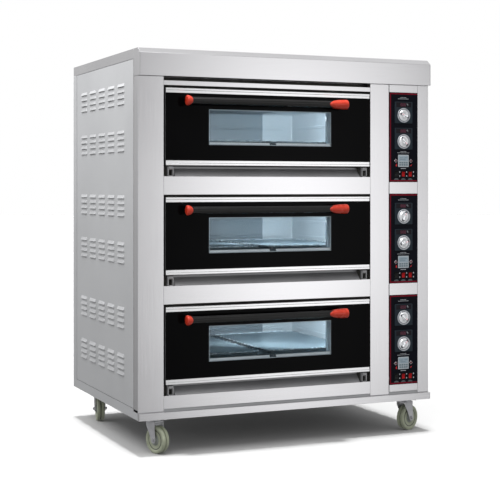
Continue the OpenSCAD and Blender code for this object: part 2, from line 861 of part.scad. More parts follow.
// Rocker of one switch, resting with its lower half pressed in
module rocker(d, s) {
  h = rocker_h / 2;
  tone = s == 0 ? "#181818" : "crimson";
  color(tone) at_front()
    translate([switch_x(s), rocker_y, panel_z(d) + switch_rise])
      rotate([rocker_tilt, 0, 0]) difference() {
        union() {
          along_x(-rocker_w / 2, rocker_w / 2)
            polygon([[-8, -h], [-6, 0], [-8, h], [-4.5, h], [-1, 3], [-1, -3], [-4.5, -h]]);
          rod_x(3.2, -rocker_w / 2, rocker_w / 2);
        }
        rod_x(rocker_pin_r + run_gap, -rocker_w, rocker_w);
      }
}

// ---- Inside the control side ----

// Plate with a contactor for each deck and a terminal block
module electrical_chassis() {
  x0 = wool_right + face_gap;
  y0 = 200;
  y1 = wool_back - 60;
  color("lightgray") at_front() union() {
    difference() {
      block([x0, y0, base_top + 40], [x0 + sheet, y1, cover_z - 40]);
      for (d = [0:2], level = heater_levels, k = [0:heaters_each - 1])
        translate([0, heater_y(k), door_z(d) + level])
          rod_x(stud_r + cutout_gap, x0 - 1, x0 + sheet + 1);
    }
    block([x0 + sheet - tiny, y0 + 60, base_top + 60], [x0 + 34, y1 - 160, base_top + 100]);
    for (d = [0:2]) {
      block([x0 + sheet - tiny, y0 + 80, door_z(d) + 90], [x0 + 62, y0 + 135, door_z(d) + 175]);
      block([x0 + 50, y0 + 92, door_z(d) + 80], [x0 + 74, y0 + 123, door_z(d) + 185]);
      block([x0 + sheet - tiny, y0 + 200, door_z(d) + 100],
            [x0 + 70, y0 + 290, door_z(d) + 180]);
    }
  }
}

// Nipple that the supply cable enters by, clamped in the back sheet
module cable_gland() {
  neck_r = gland_bore_r + 4;
  color("#303030") at_front() translate([half_w - gland_side, 0, gland_z]) difference() {
    union() {
      rod_y(neck_r, body_d - sheet - 8, body_d + gland_out);
      translate([0, body_d, 0]) rotate([-90, 0, 0])
        cylinder(h = 8, r = neck_r + 6, $fn = 6);
      translate([0, body_d - sheet - 6, 0]) rotate([-90, 0, 0])
        cylinder(h = 6, r = neck_r + 6, $fn = 6);
    }
    rod_y(gland_bore_r, body_d - sheet - 9, body_d + gland_out + 1);
  }
}

// ---- Castors ----

// Top plates with the fixed half of the swivel bearing and the kingpin
module castor_plates() {
  color("silver") at_front() for (k = [0:3]) difference() {
    translate([castor_x(k), castor_y(k), 0]) union() {
      translate([0, 0, base_z - plate_t]) linear_extrude(plate_t)
        round_area(plate_w, plate_d, 6);
      translate([0, 0, crown_top + face_gap])
        cylinder(h = race_h + tiny, r1 = race_r - 4, r2 = race_r);
      translate([0, 0, kingpin_z]) cylinder(h = base_z - plate_t - kingpin_z, r = kingpin_r);
      translate([0, 0, kingpin_z - 1])
        cylinder(h = crown_z - face_gap - kingpin_z + 1, r = kingpin_r + 4, $fn = 6);
    }
    castor_bolts(k)
      translate([0, 0, base_z - plate_t - 1]) cylinder(h = plate_t + 2, r = bolt_r + run_gap);
  }
}

// Puts a castor's moving half under its plate, turned as it stands
module castor_place(k) {
  at_front() translate([castor_x(k), castor_y(k), 0]) rotate([0, 0, castor_turns[k]])
    children();
}

// Steel fork with its axle bolt
module fork(k) {
  out = leg_in + leg_t;
  color("gray") castor_place(k) {
    difference() {
      union() {
        translate([0, 0, crown_z]) cylinder(h = crown_t, r = race_r + 2);
        block([-20, -out, crown_z], [trail + 12, out, crown_z + 4]);
        for (side = [-1, 1]) translate([0, side * (leg_in + leg_t / 2) + leg_t / 2, 0])
          rotate([90, 0, 0]) linear_extrude(leg_t) {
            polygon([[-20, crown_z + 3.9], [trail + 12, crown_z + 3.9],
                     [trail + leg_r, wheel_r], [trail - leg_r, wheel_r],
                     [-18, crown_z - 22]]);
            translate([trail, wheel_r]) circle(leg_r);
          }
      }
      translate([0, 0, crown_z - 1]) cylinder(h = crown_t + 2, r = kingpin_r + run_gap);
      translate([trail, 0, wheel_r]) rod_y(axle_r + run_gap, -out - 1, out + 1);
    }
    translate([trail, 0, wheel_r]) union() {
      rod_y(axle_r, -out - 8, out + 8);
      for (side = [-1, 1]) translate([0, side * (out + face_gap + 3), 0])
        rotate([90, 0, 0]) cylinder(h = 6, r = 8, center = true, $fn = 6);
    }
  }
}

// Wheel in two halves with a groove between them, on a wide hub
module wheel(k) {
  half = wheel_w / 2;
  hub = leg_in - face_gap;
  color("#b8bea8") castor_place(k) translate([trail, 0, wheel_r]) rotate([90, 0, 0])
    difference() {
      rotate_extrude() polygon([
        [axle_r + run_gap, -hub], [15, -hub], [15, -half + 3], [wheel_r - 14, -half + 3],
        [wheel_r - 11, -half], [wheel_r - 4, -half], [wheel_r, -half + 5],
        [wheel_r, -3], [wheel_r - 5, -1.5], [wheel_r - 5, 1.5], [wheel_r, 3],
        [wheel_r, half - 5], [wheel_r - 4, half], [wheel_r - 11, half],
        [wheel_r - 14, half - 3], [15, half - 3], [15, hub], [axle_r + run_gap, hub]
      ]);
      cylinder(h = tiny, r = tiny);
    }
}

// ---- Fasteners ----

// Castor bolts with their nuts, and the screws of the back panel
module fasteners() {
  color("silver") at_front() {
    for (k = [0:3]) castor_bolts(k) union() {
      translate([0, 0, base_z - plate_t - 5]) cylinder(h = base_floor + plate_t + 12, r = bolt_r);
      translate([0, 0, base_z - plate_t - 5]) cylinder(h = 5, r = bolt_nut_r, $fn = 6);
      translate([0, 0, base_z + base_floor])
        cylinder(h = bolt_nut_h, r = bolt_nut_r, $fn = 6);
    }
    for (side = [-1, 1], z = [0:5])
      translate([side * (half_w - 20), 0, base_top + 60 + z * (cover_z - base_top - 120) / 5])
        rod_y(5, body_d, body_d + 2.5);
  }
}

// ---- What is drawn ----

base_frame();
front_plinth();
left_side_panel();
right_side_panel();
back_panel();
top_cover();
visor();
front_posts();
front_rails();
door_sills();
chamber(0);  // lower_chamber
chamber(1);  // middle_chamber
chamber(2);  // upper_chamber
pans(0);  // lower_pans
pans(1);  // middle_pans
pans(2);  // upper_pans
heating_elements();
insulation();
control_panels();
thermostats();
timers();
indicator_lamps();
switch_housings();
electrical_chassis();
hinge_brackets();
castor_plates();
cable_gland();
fasteners();
for (d = [0:2]) {
  door_casing(d);
  door_glass(d);
  door_handle(d);
  for (s = [0:1])
    knob(d, s);
  for (s = [0:2])
    rocker(d, s);
}
for (k = [0:3]) {
  fork(k);
  wheel(k);
}
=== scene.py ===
# Three-deck electric oven on castors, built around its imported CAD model.
# Metres, +Z up, the doors face -Y, with the origin on the floor under the oven.
import math

import bmesh
import bpy
from mathutils import Matrix, Vector


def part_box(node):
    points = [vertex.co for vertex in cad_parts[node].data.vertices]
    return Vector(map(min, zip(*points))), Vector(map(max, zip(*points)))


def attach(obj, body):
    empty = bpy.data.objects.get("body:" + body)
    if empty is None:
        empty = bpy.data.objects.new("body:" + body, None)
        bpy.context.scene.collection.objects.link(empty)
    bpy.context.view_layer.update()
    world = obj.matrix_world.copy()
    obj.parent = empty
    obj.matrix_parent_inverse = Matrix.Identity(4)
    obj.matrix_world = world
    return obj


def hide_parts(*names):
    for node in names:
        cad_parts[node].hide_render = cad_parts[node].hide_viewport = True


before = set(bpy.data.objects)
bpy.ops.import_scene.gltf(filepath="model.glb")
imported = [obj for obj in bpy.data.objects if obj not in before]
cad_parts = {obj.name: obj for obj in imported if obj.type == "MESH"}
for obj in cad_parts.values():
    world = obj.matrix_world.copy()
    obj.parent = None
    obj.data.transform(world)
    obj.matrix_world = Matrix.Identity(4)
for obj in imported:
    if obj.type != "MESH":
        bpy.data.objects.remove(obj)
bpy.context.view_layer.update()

# ---- Studio ----
# The oven stands on a plain pale floor in soft light, seen from the front and a
# little from its left, at about the height of the upper doors.

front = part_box("front_posts")[0].y
eye = Vector((-2.199, front - 4.634, 1.0595))
camera = bpy.data.objects.new("camera", bpy.data.cameras.new("camera"))
camera.location = eye
camera.rotation_euler = (math.radians(90), 0, math.radians(-23.526))
camera.data.sensor_width = 36
camera.data.lens = 89.7
camera.data.shift_y = -0.129
bpy.context.scene.collection.objects.link(camera)
bpy.context.scene.camera = camera
bpy.context.scene.view_settings.view_transform = "Standard"


def add_node(tree, kind, inputs=(), **settings):
    """Adds a node; each input is a plain value or the socket that feeds it."""
    node = tree.nodes.new(kind)
    for setting, value in settings.items():
        setattr(node, setting, value)
    for socket, value in dict(inputs).items():
        if isinstance(value, bpy.types.NodeSocket):
            tree.links.new(value, node.inputs[socket])
        else:
            node.inputs[socket].default_value = value
    return node


def add_soft_light(name, place, target, size, power):
    """A square lamp that faces a point and isn't seen itself."""
    lamp = bpy.data.lights.new(name, "AREA")
    lamp.shape = "RECTANGLE"
    lamp.size, lamp.size_y = size
    lamp.energy = power
    light = bpy.data.objects.new(name, lamp)
    light.location = place
    light.rotation_euler = (Vector(target) - Vector(place)).to_track_quat("-Z", "Y").to_euler()
    light.visible_camera = False
    bpy.context.scene.collection.objects.link(light)


sky = bpy.data.worlds.new("studio")
sky.use_nodes = True
bpy.context.scene.world = sky
tree = sky.node_tree
tree.nodes.clear()
toward = add_node(tree, "ShaderNodeTexCoord").outputs["Generated"]
turned = add_node(tree, "ShaderNodeVectorRotate", {"Vector": toward, "Angle": math.radians(-25.5)},
                  rotation_type="Z_AXIS")
off_centre = add_node(tree, "ShaderNodeVectorMath", {0: turned.outputs[0], 1: (0, 1, 0.022)})
squeezed = add_node(tree, "ShaderNodeVectorMath", {0: off_centre.outputs[0], 1: (5.4, 0.8, 2.8)},
                    operation="MULTIPLY")
distance = add_node(tree, "ShaderNodeVectorMath", {0: squeezed.outputs[0]}, operation="LENGTH")
glow = add_node(tree, "ShaderNodeMapRange",
                {"Value": distance.outputs["Value"], "From Min": 1.0, "From Max": 0.0,
                 "To Min": 0.0, "To Max": 1.72}, interpolation_type="SMOOTHSTEP")
parts = add_node(tree, "ShaderNodeSeparateXYZ", {0: turned.outputs[0]}).outputs
rear = add_node(tree, "ShaderNodeMapRange", {"Value": parts["Y"], "From Min": -0.6, "From Max": 0.2})
low_sky = add_node(tree, "ShaderNodeMapRange", {"Value": parts["Z"], "From Min": -0.22, "From Max": 0.12,
                                                "To Min": 0.22, "To Max": 0.60})
dim = add_node(tree, "ShaderNodeMix", {0: rear.outputs["Result"], 2: 0.36, 3: low_sky.outputs["Result"]},
               data_type="FLOAT")
wide = add_node(tree, "ShaderNodeMapRange",
                {"Value": distance.outputs["Value"], "From Min": 1.5, "From Max": 3.0,
                 "To Min": 0.0, "To Max": 0.34})
spare = add_node(tree, "ShaderNodeMath", {0: dim.outputs[0], 1: wide.outputs["Result"]})
lit = add_node(tree, "ShaderNodeMath", {0: spare.outputs[0], 1: glow.outputs["Result"]})
path = add_node(tree, "ShaderNodeLightPath").outputs
around = add_node(tree, "ShaderNodeMix", {0: path["Is Diffuse Ray"], 2: lit.outputs[0], 3: 0.73},
                  data_type="FLOAT")
strength = add_node(tree, "ShaderNodeMix", {0: path["Is Camera Ray"], 2: around.outputs[0], 3: 1.0},
                    data_type="FLOAT")
backdrop = add_node(tree, "ShaderNodeBackground", {"Color": (1, 1, 1, 1), "Strength": strength.outputs[0]})
add_node(tree, "ShaderNodeOutputWorld", {"Surface": backdrop.outputs[0]})

add_soft_light("overhead_lamp", (-0.6, -1.6, 3.4), (0.0, 0, 0.9), (2.4, 1.8), 30)
add_soft_light("side_lamp", (-2.1, 0.1, 2.5), (-0.66, 0, 1.35), (0.9, 1.4), 41)
sun = bpy.data.objects.new("straight_down", bpy.data.lights.new("straight_down", "SUN"))
sun.data.energy, sun.data.angle = 4.2, math.radians(5)
sun.visible_glossy = False
bpy.context.scene.collection.objects.link(sun)


def new_finish(name, sockets):
    """A material with plain values on its shader, and the parts that its maps need."""
    material = bpy.data.materials.new(name)
    material.use_nodes = True
    tree = material.node_tree
    shader = tree.nodes["Principled BSDF"]
    for socket, value in sockets.items():
        shader.inputs[socket].default_value = value
    return material, tree, shader, add_node(tree, "ShaderNodeTexCoord").outputs["Object"]


def two_tone(tree, mask, dark, light):
    """A colour that goes from dark to light with a mask."""
    mix = add_node(tree, "ShaderNodeMix", {0: mask, 6: (*dark, 1), 7: (*light, 1)}, data_type="RGBA")
    return mix.outputs[2]


def spread(tree, mask, low, high):
    """A value that goes from low to high with a mask."""
    return add_node(tree, "ShaderNodeMapRange",
                    {"Value": mask, "To Min": low, "To Max": high}).outputs["Result"]


def effect_group(name, inputs, outputs):
    """An empty node group with named sockets, and its two ends."""
    group = bpy.data.node_groups.new(name, "ShaderNodeTree")
    for socket, kind in inputs.items():
        group.interface.new_socket(socket, in_out="INPUT", socket_type=kind)
    for socket in outputs:
        group.interface.new_socket(socket, in_out="OUTPUT", socket_type="NodeSocketFloat")
    return group, add_node(group, "NodeGroupInput").outputs, add_node(group, "NodeGroupOutput")


# Cloudy tone and a fine bumpy height, for paint, plastic, dust and smears.
mottle, given, result = effect_group(
    "mottle",
    {"Vector": "NodeSocketVector", "Cloud Scale": "NodeSocketFloat", "Fine Scale": "NodeSocketFloat"},
    ("Cloud", "Fine"))
cloud = add_node(mottle, "ShaderNodeTexNoise", {"Vector": given["Vector"], "Scale": given["Cloud Scale"],
                                                "Detail": 4.0, "Roughness": 0.6})
fine = add_node(mottle, "ShaderNodeTexNoise", {"Vector": given["Vector"], "Scale": given["Fine Scale"],
                                               "Detail": 2.0, "Roughness": 0.5})
clear_cloud = add_node(mottle, "ShaderNodeMapRange",
                       {"Value": cloud.outputs["Fac"], "From Min": 0.3, "From Max": 0.7})
mottle.links.new(clear_cloud.outputs["Result"], result.inputs["Cloud"])
mottle.links.new(fine.outputs["Fac"], result.inputs["Fine"])


def mottled(name, dark, light, rough, cloud_scale, fine_scale, bump=0.05, sockets=()):
    """A finish with a cloudy tone between two colours and a fine uneven surface."""
    material, tree, shader, place = new_finish(name, dict(sockets))
    marks = add_node(tree, "ShaderNodeGroup", node_tree=mottle)
    tree.links.new(place, marks.inputs["Vector"])
    marks.inputs["Cloud Scale"].default_value = cloud_scale
    marks.inputs["Fine Scale"].default_value = fine_scale
    tree.links.new(two_tone(tree, marks.outputs["Cloud"], dark, light), shader.inputs["Base Color"])
    tree.links.new(spread(tree, marks.outputs["Cloud"], *rough), shader.inputs["Roughness"])
    relief = add_node(tree, "ShaderNodeBump",
                      {"Strength": bump, "Distance": 0.001, "Height": marks.outputs["Fine"]})
    tree.links.new(relief.outputs["Normal"], shader.inputs["Normal"])
    return material


floor_finish = mottled("pale_floor", (0.50, 0.50, 0.50), (0.52, 0.52, 0.52), (0.9, 1.0), 0.6, 60,
                       sockets={"Specular IOR Level": 0.0})
tree = floor_finish.node_tree
shader = tree.nodes["Principled BSDF"]
pale = shader.inputs["Base Color"].links[0].from_socket
seen = add_node(tree, "ShaderNodeLightPath").outputs["Is Camera Ray"]
bounced = add_node(tree, "ShaderNodeMix", {0: seen, 6: (0.12, 0.12, 0.12, 1), 7: pale}, data_type="RGBA")
tree.links.new(bounced.outputs[2], shader.inputs["Base Color"])
floor_bm = bmesh.new()
bmesh.ops.create_circle(floor_bm, cap_ends=True, segments=96, radius=40)
floor_mesh = bpy.data.meshes.new("floor")
floor_bm.to_mesh(floor_mesh)
floor_bm.free()
floor_mesh.materials.append(floor_finish)
floor = bpy.data.objects.new("floor", floor_mesh)
bpy.context.scene.collection.objects.link(floor)
floor.visible_glossy = False

# ---- Base frame and plinth ----
# The base frame is a shallow tray of folded sheet that carries the castors. A
# folded channel of brushed stainless sheet, the plinth, closes it at the front.

decks = ("lower", "middle", "upper")
base_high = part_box("base_frame")[1]
half_w = base_high.x
back = base_high.y
sheet = 0.002

# Fine lines of a brushed sheet, drawn out along one axis, over a faint cloud.
brushing, given, result = effect_group(
    "brushing", {"Vector": "NodeSocketVector", "Stretch": "NodeSocketVector"}, ("Lines", "Tone"))
drawn = add_node(brushing, "ShaderNodeVectorMath", {0: given["Vector"], 1: given["Stretch"]},
                 operation="MULTIPLY")
lines = add_node(brushing, "ShaderNodeTexNoise", {"Vector": drawn.outputs[0], "Scale": 1.0, "Detail": 3.0,
                                                  "Roughness": 0.7})
cloud = add_node(brushing, "ShaderNodeTexNoise", {"Vector": given["Vector"], "Scale": 3.5, "Detail": 3.0})
both = add_node(brushing, "ShaderNodeMix", {0: 0.4, 2: lines.outputs["Fac"], 3: cloud.outputs["Fac"]},
                data_type="FLOAT")
clear = add_node(brushing, "ShaderNodeMapRange",
                 {"Value": both.outputs[0], "From Min": 0.32, "From Max": 0.68})
brushing.links.new(lines.outputs["Fac"], result.inputs["Lines"])
brushing.links.new(clear.outputs["Result"], result.inputs["Tone"])


def brushed(name, dark, light, rough, along, bump=0.03, metallic=1.0):
    """Brushed metal whose lines run along X, Y or Z."""
    material, tree, shader, place = new_finish(name, {"Metallic": metallic})
    grain = add_node(tree, "ShaderNodeGroup", node_tree=brushing)
    tree.links.new(place, grain.inputs["Vector"])
    grain.inputs["Stretch"].default_value = [4 if axis == along else 700 for axis in "XYZ"]
    tree.links.new(two_tone(tree, grain.outputs["Tone"], dark, light), shader.inputs["Base Color"])
    tree.links.new(spread(tree, grain.outputs["Tone"], *rough), shader.inputs["Roughness"])
    relief = add_node(tree, "ShaderNodeBump", {"Strength": bump, "Distance": 0.0004,
                                               "Height": grain.outputs["Lines"]})
    tree.links.new(relief.outputs["Normal"], shader.inputs["Normal"])
    return material


steel_across = brushed("stainless_brushed_across", (0.575, 0.57, 0.585), (0.68, 0.675, 0.69), (0.15, 0.21),
                       "X")
steel_upright = brushed("stainless_brushed_upright", (0.575, 0.57, 0.585), (0.68, 0.675, 0.69), (0.15, 0.21),
                        "Z")
side_paint = mottled("side_sheet_satin", (0.36, 0.365, 0.375), (0.40, 0.405, 0.415), (0.42, 0.52), 2.5, 900,
                     0.08)


def give(node, material):
    """Gives a CAD node its finish."""
    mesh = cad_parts[node].data
    mesh.materials.clear()
    mesh.materials.append(material)


def add_block(bm, low, high):
    """Adds a block between its lowest and highest corners."""
    low, high = Vector(low), Vector(high)
    verts = bmesh.ops.create_cube(bm, size=1.0)["verts"]
    bmesh.ops.scale(bm, vec=high - low, verts=verts)
    bmesh.ops.translate(bm, vec=(low + high) / 2, verts=verts)
    return verts


def add_length(bm, outline, x0, x1):
    """Adds a closed outline in Y and Z, drawn out along X."""
    face = bm.faces.new([bm.verts.new((x0, y, z)) for y, z in outline])
    grown = bmesh.ops.extrude_face_region(bm, geom=[face])["geom"]
    verts = [v for v in grown if isinstance(v, bmesh.types.BMVert)]
    bmesh.ops.translate(bm, vec=(x1 - x0, 0, 0), verts=verts)


def place_part(bm, part, matrix=Matrix()):
    """Moves a part's mesh into place in a bigger one."""
    mesh = bpy.data.meshes.new("part")
    part.to_mesh(mesh)
    part.free()
    mesh.transform(matrix)
    if matrix.is_negative:
        mesh.flip_normals()
    bm.from_mesh(mesh)
    bpy.data.meshes.remove(mesh)


def make_piece(name, bm, materials, body, slot, *stands_for, fold=0.0, segments=2, crease=35):
    """Makes a finished mesh a piece that rides on a body and stands for CAD nodes."""
    bmesh.ops.recalc_face_normals(bm, faces=bm.faces)
    for edge in bm.edges:
        edge.smooth = edge.is_manifold and edge.calc_face_angle(0) < math.radians(crease)
    for face in bm.faces:
        face.smooth = True
    mesh = bpy.data.meshes.new(name)
    bm.to_mesh(mesh)
    bm.free()
    for material in materials:
        mesh.materials.append(material)
    piece = bpy.data.objects.new(name, mesh)
    bpy.context.scene.collection.objects.link(piece)
    if fold:
        rounding = piece.modifiers.new("folds", "BEVEL")
        rounding.width = fold
        rounding.segments = segments
        rounding.limit_method = "ANGLE"
        rounding.angle_limit = math.radians(crease)
        rounding.harden_normals = True
    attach(piece, body)
    if stands_for:
        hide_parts(*stands_for)
    return piece


give("base_frame", side_paint)

plinth_low, plinth_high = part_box("front_plinth")
plinth = bmesh.new()
lip = 0.012
add_length(plinth, [
    (plinth_high.y, plinth_low.z), (plinth_low.y, plinth_low.z), (plinth_low.y, plinth_high.z),
    (plinth_high.y, plinth_high.z), (plinth_high.y, plinth_high.z - lip),
    (plinth_high.y - sheet, plinth_high.z - lip), (plinth_high.y - sheet, plinth_high.z - sheet),
    (plinth_low.y + sheet, plinth_high.z - sheet), (plinth_low.y + sheet, plinth_low.z + sheet),
    (plinth_high.y, plinth_low.z + sheet)], plinth_low.x + sheet, plinth_high.x - sheet)
for x in (plinth_low.x, plinth_high.x - sheet):
    add_block(plinth, (x, plinth_low.y, plinth_low.z), (x + sheet, plinth_high.y, plinth_high.z))
make_piece("folded_plinth", plinth, [steel_across], "root", "stainless", "front_plinth", fold=0.0008)

# ---- Side panels ----
# Each side is one satin-grey sheet between the front post's return and the rear
# corner strip. Rows of louvres are pressed outwards, open at their lower edge.

louvre_l, louvre_h, louvre_out = 0.090, 0.013, 0.0062
louvre_pitch, louvre_row = 0.134, 0.024
deck_step = 0.433 + 0.019
group_heights = [0.332 + deck * deck_step + pair * 0.190 for deck in range(3) for pair in range(2)]
first_louvre = back - 0.133 - louvre_l - 4 * louvre_pitch


def pierced_sheet(x_span, z_span, holes, thickness):
    """A flat sheet in X and Z with rectangular holes, from y = 0 back to its thickness."""
    bm = bmesh.new()
    corners = ((x_span[0], z_span[0]), (x_span[1], z_span[0]), (x_span[1], z_span[1]), (x_span[0], z_span[1]))
    bm.faces.new([bm.verts.new((x, 0, z)) for x, z in corners])
    cuts = {("x", round(x, 6)) for hole in holes for x in hole[0]}
    cuts |= {("z", round(z, 6)) for hole in holes for z in hole[1]}
    for axis, value in sorted(cuts):
        point, normal = ((value, 0, 0), (1, 0, 0)) if axis == "x" else ((0, 0, value), (0, 0, 1))
        bmesh.ops.bisect_plane(bm, geom=bm.verts[:] + bm.edges[:] + bm.faces[:], plane_co=point,
                               plane_no=normal)
    inside = [face for face in bm.faces if any(
        x[0] < face.calc_center_median().x < x[1] and z[0] < face.calc_center_median().z < z[1]
        for x, z in holes)]
    bmesh.ops.delete(bm, geom=inside, context="FACES")
    grown = bmesh.ops.extrude_face_region(bm, geom=bm.faces[:])["geom"]
    verts = [v for v in grown if isinstance(v, bmesh.types.BMVert)]
    bmesh.ops.translate(bm, vec=(0, thickness, 0), verts=verts)
    bmesh.ops.recalc_face_normals(bm, faces=bm.faces)
    return bm


def louvre():
    """One pressed louvre: a sloping roof that rises out of the sheet, open underneath."""
    bm = bmesh.new()
    verts = add_block(bm, (0, -louvre_out, 0), (louvre_l, 0.001, louvre_h))
    for v in verts:
        if v.co.y < 0 and v.co.z > 0:
            v.co.y = -0.0006
        if v.co.y < -0.0001:
            v.co.x += 0.004 if v.co.x < louvre_l / 2 else -0.004
    outer = [e for e in bm.edges if all(v.co.y < 0 for v in e.verts) and any(v.co.z > 0 for v in e.verts)]
    bmesh.ops.bevel(bm, geom=outer, offset=0.0025, segments=2, affect="EDGES", profile=0.5, material=-1)
    hidden = [f for f in bm.faces if f.normal.y > 0.9 or f.normal.z < -0.9]
    bmesh.ops.delete(bm, geom=hidden, context="FACES")
    bmesh.ops.solidify(bm, geom=bm.faces[:], thickness=0.0008)
    return bm


def louvred_panel(name, side):
    """One side sheet, drawn from the front backwards and stood up at its side."""
    low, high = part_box(name)
    places = [(first_louvre + column * louvre_pitch, middle + (row - 1.5) * louvre_row - 0.0025)
              for middle in group_heights for row in range(4) for column in range(5)]
    holes = [((y + 0.002, y + louvre_l - 0.002), (z, z + louvre_h - 0.002)) for y, z in places]
    flat = pierced_sheet((low.y + 0.0015, high.y - 0.0045), (low.z + 0.0022, high.z - 0.0015), holes, sheet)
    for y, z in places:
        place_part(flat, louvre(), Matrix.Translation((y, 0, z)))
    stand = Matrix.Rotation(math.radians(90), 4, "Z")
    if side < 0:
        turn = Matrix.Translation((-half_w, 0, 0)) @ Matrix.Scale(-1, 4, (1, 0, 0)) @ stand
    else:
        turn = Matrix.Translation((half_w, 0, 0)) @ stand
    bm = bmesh.new()
    place_part(bm, flat, turn)
    make_piece(name.replace("panel", "louvred_sheet"), bm, [side_paint], "root", "side_sheet", name)


louvred_panel("left_side_panel", -1)
louvred_panel("right_side_panel", 1)

# ---- Back panel ----
# One sheet with folded corner strips, screwed to the frame down both edges. Slots
# beside the electrical space let its warm air out.

back_low, back_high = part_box("back_panel")
vent_x, vent_l, vent_h = half_w - 0.190, 0.120, 0.005
vents = [((vent_x, vent_x + vent_l), (z, z + vent_h))
         for deck in decks for row in range(8)
         for z in (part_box(f"{deck}_door_glass")[0].z - 0.020 + 0.060 + row * 0.024,)]
gland_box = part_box("cable_gland")
gland_x = (gland_box[0].x + gland_box[1].x) / 2
gland_z = (gland_box[0].z + gland_box[1].z) / 2
wall = pierced_sheet((-half_w + sheet, half_w - sheet), (back_low.z, back_high.z), vents, sheet)
back_bm = bmesh.new()
place_part(back_bm, wall, Matrix.Translation((0, back_high.y - sheet, 0)))
for side in (-1, 1):
    outer, inner = side * half_w, side * (half_w - sheet)
    add_block(back_bm, (min(outer, inner), back_low.y, back_low.z),
              (max(outer, inner), back_high.y, back_high.z))
make_piece("folded_back_panel", back_bm, [side_paint], "root", "side_sheet", "back_panel")

# ---- Cable gland ----
# A moulded nipple with a hexagonal body and a ribbed dome nut, which grips the
# supply cable where it enters low on the back panel.

gland_black = mottled("gland_black", (0.018, 0.018, 0.019), (0.035, 0.035, 0.036), (0.4, 0.5), 40, 600)


def add_turned(bm, outline, centre, axis, steps=48):
    """Adds a turned shape: an outline of radius and height pairs, spun round an axis through a centre."""
    part = bmesh.new()
    verts = [part.verts.new((radius, 0, height)) for radius, height in outline]
    edges = [part.edges.new(pair) for pair in zip(verts, verts[1:])]
    bmesh.ops.spin(part, geom=verts + edges, cent=(0, 0, 0), axis=(0, 0, 1), angle=math.tau,
                   steps=steps, use_merge=True)
    bmesh.ops.remove_doubles(part, verts=part.verts, dist=1e-6)
    bmesh.ops.recalc_face_normals(part, faces=part.faces)
    turn = Vector((0, 0, 1)).rotation_difference(Vector(axis)).to_matrix().to_4x4()
    place_part(bm, part, Matrix.Translation(centre) @ turn)


gland = bmesh.new()
bore, neck = 0.007, 0.011
gland_back = back_high.y
out = gland_box[1].y - gland_back
add_turned(gland, [(bore, -0.010), (neck, -0.010), (neck, 0.008), (neck + 0.0055, 0.008),
                   (neck + 0.0055, out - 0.007),
                   (neck + 0.0035, out - 0.002), (bore + 0.002, out), (bore, out), (bore, -0.010)],
           (gland_x, gland_back, gland_z), (0, 1, 0))
for hexagon in ((-0.008, -0.002), (0.0, 0.008)):
    made = bmesh.ops.create_cone(gland, cap_ends=True, segments=6, radius1=neck + 0.006, radius2=neck + 0.006,
                                 depth=hexagon[1] - hexagon[0])["verts"]
    bmesh.ops.rotate(gland, verts=made, matrix=Matrix.Rotation(math.radians(-90), 3, "X"))
    bmesh.ops.translate(gland, verts=made, vec=(gland_x, gland_back + sum(hexagon) / 2, gland_z))
ribs = 24
for rib in range(ribs):
    angle = math.tau * rib / ribs
    verts = add_block(gland, (-0.0006, 0.0095, neck + 0.005), (0.0006, out - 0.0075, neck + 0.0065))
    bmesh.ops.rotate(gland, verts=verts, matrix=Matrix.Rotation(angle, 3, "Y"))
    bmesh.ops.translate(gland, verts=verts, vec=(gland_x, gland_back, gland_z))
make_piece("ribbed_cable_gland", gland, [gland_black], "root", "switch_black", "cable_gland", fold=0.0003,
           segments=1)

# ---- Top cover and visor ----
# The cover is a lid of brushed sheet folded down at its edges. The visor is a
# folded box with a bevelled upper edge, which keeps steam off the operator.

cover_low, cover_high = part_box("top_cover")
cover = bmesh.new()
add_length(cover, [
    (cover_low.y, cover_high.z), (cover_high.y, cover_high.z), (cover_high.y, cover_low.z),
    (cover_high.y - sheet, cover_low.z), (cover_high.y - sheet, cover_high.z - sheet),
    (cover_low.y + sheet, cover_high.z - sheet), (cover_low.y + sheet, cover_low.z),
    (cover_low.y, cover_low.z)],
           cover_low.x + sheet, cover_high.x - sheet)
for x in (cover_low.x, cover_high.x - sheet):
    add_block(cover, (x, cover_low.y, cover_low.z), (x + sheet, cover_high.y, cover_high.z))
make_piece("folded_top_cover", cover, [steel_across], "root", "stainless", "top_cover", fold=0.0009,
           segments=3)

visor_low, visor_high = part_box("visor")
bevel_h, bevel_d = 0.020, 0.027
visor = bmesh.new()
outline = [(visor_low.y, visor_low.z), (visor_low.y, visor_high.z - bevel_h),
           (visor_low.y + bevel_d, visor_high.z),
           (visor_high.y, visor_high.z), (visor_high.y, visor_low.z + 0.001),
           (visor_high.y - sheet, visor_low.z + 0.001), (visor_high.y - sheet, visor_high.z - sheet),
           (visor_low.y + bevel_d + 0.001, visor_high.z - sheet),
           (visor_low.y + sheet, visor_high.z - bevel_h - 0.001), (visor_low.y + sheet, visor_low.z + 0.016),
           (visor_low.y + 0.012, visor_low.z + 0.014), (visor_low.y + 0.012, visor_low.z)]
add_length(visor, outline, visor_low.x + sheet, visor_high.x - sheet)
add_block(visor, (visor_low.x + 0.004, visor_low.y + 0.013, visor_low.z + 0.002),
          (visor_high.x - 0.004, visor_high.y - 0.004, visor_low.z + 0.004))
for x in (visor_low.x, visor_high.x - sheet):
    add_length(visor, outline[:5], x, x + sheet)
make_piece("bevelled_visor", visor, [steel_across], "root", "stainless", "visor", fold=0.0016, segments=3)

# ---- Front posts ----
# Three upright channels of brushed sheet: a face between two folded returns. The
# outer ones wrap round the body's front corners to meet the side sheets.

post_low, post_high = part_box("front_posts")
left_post_w, door_bay_w, mid_post_w = 0.107, 0.926, 0.090
bay_left = -half_w + left_post_w
bay_right = bay_left + door_bay_w
bay_x = (bay_left + bay_right) / 2
controls_left = bay_right + mid_post_w
controls_right = controls_left + 0.142
controls_x = (controls_left + controls_right) / 2
rail_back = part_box("front_rails")[1].y


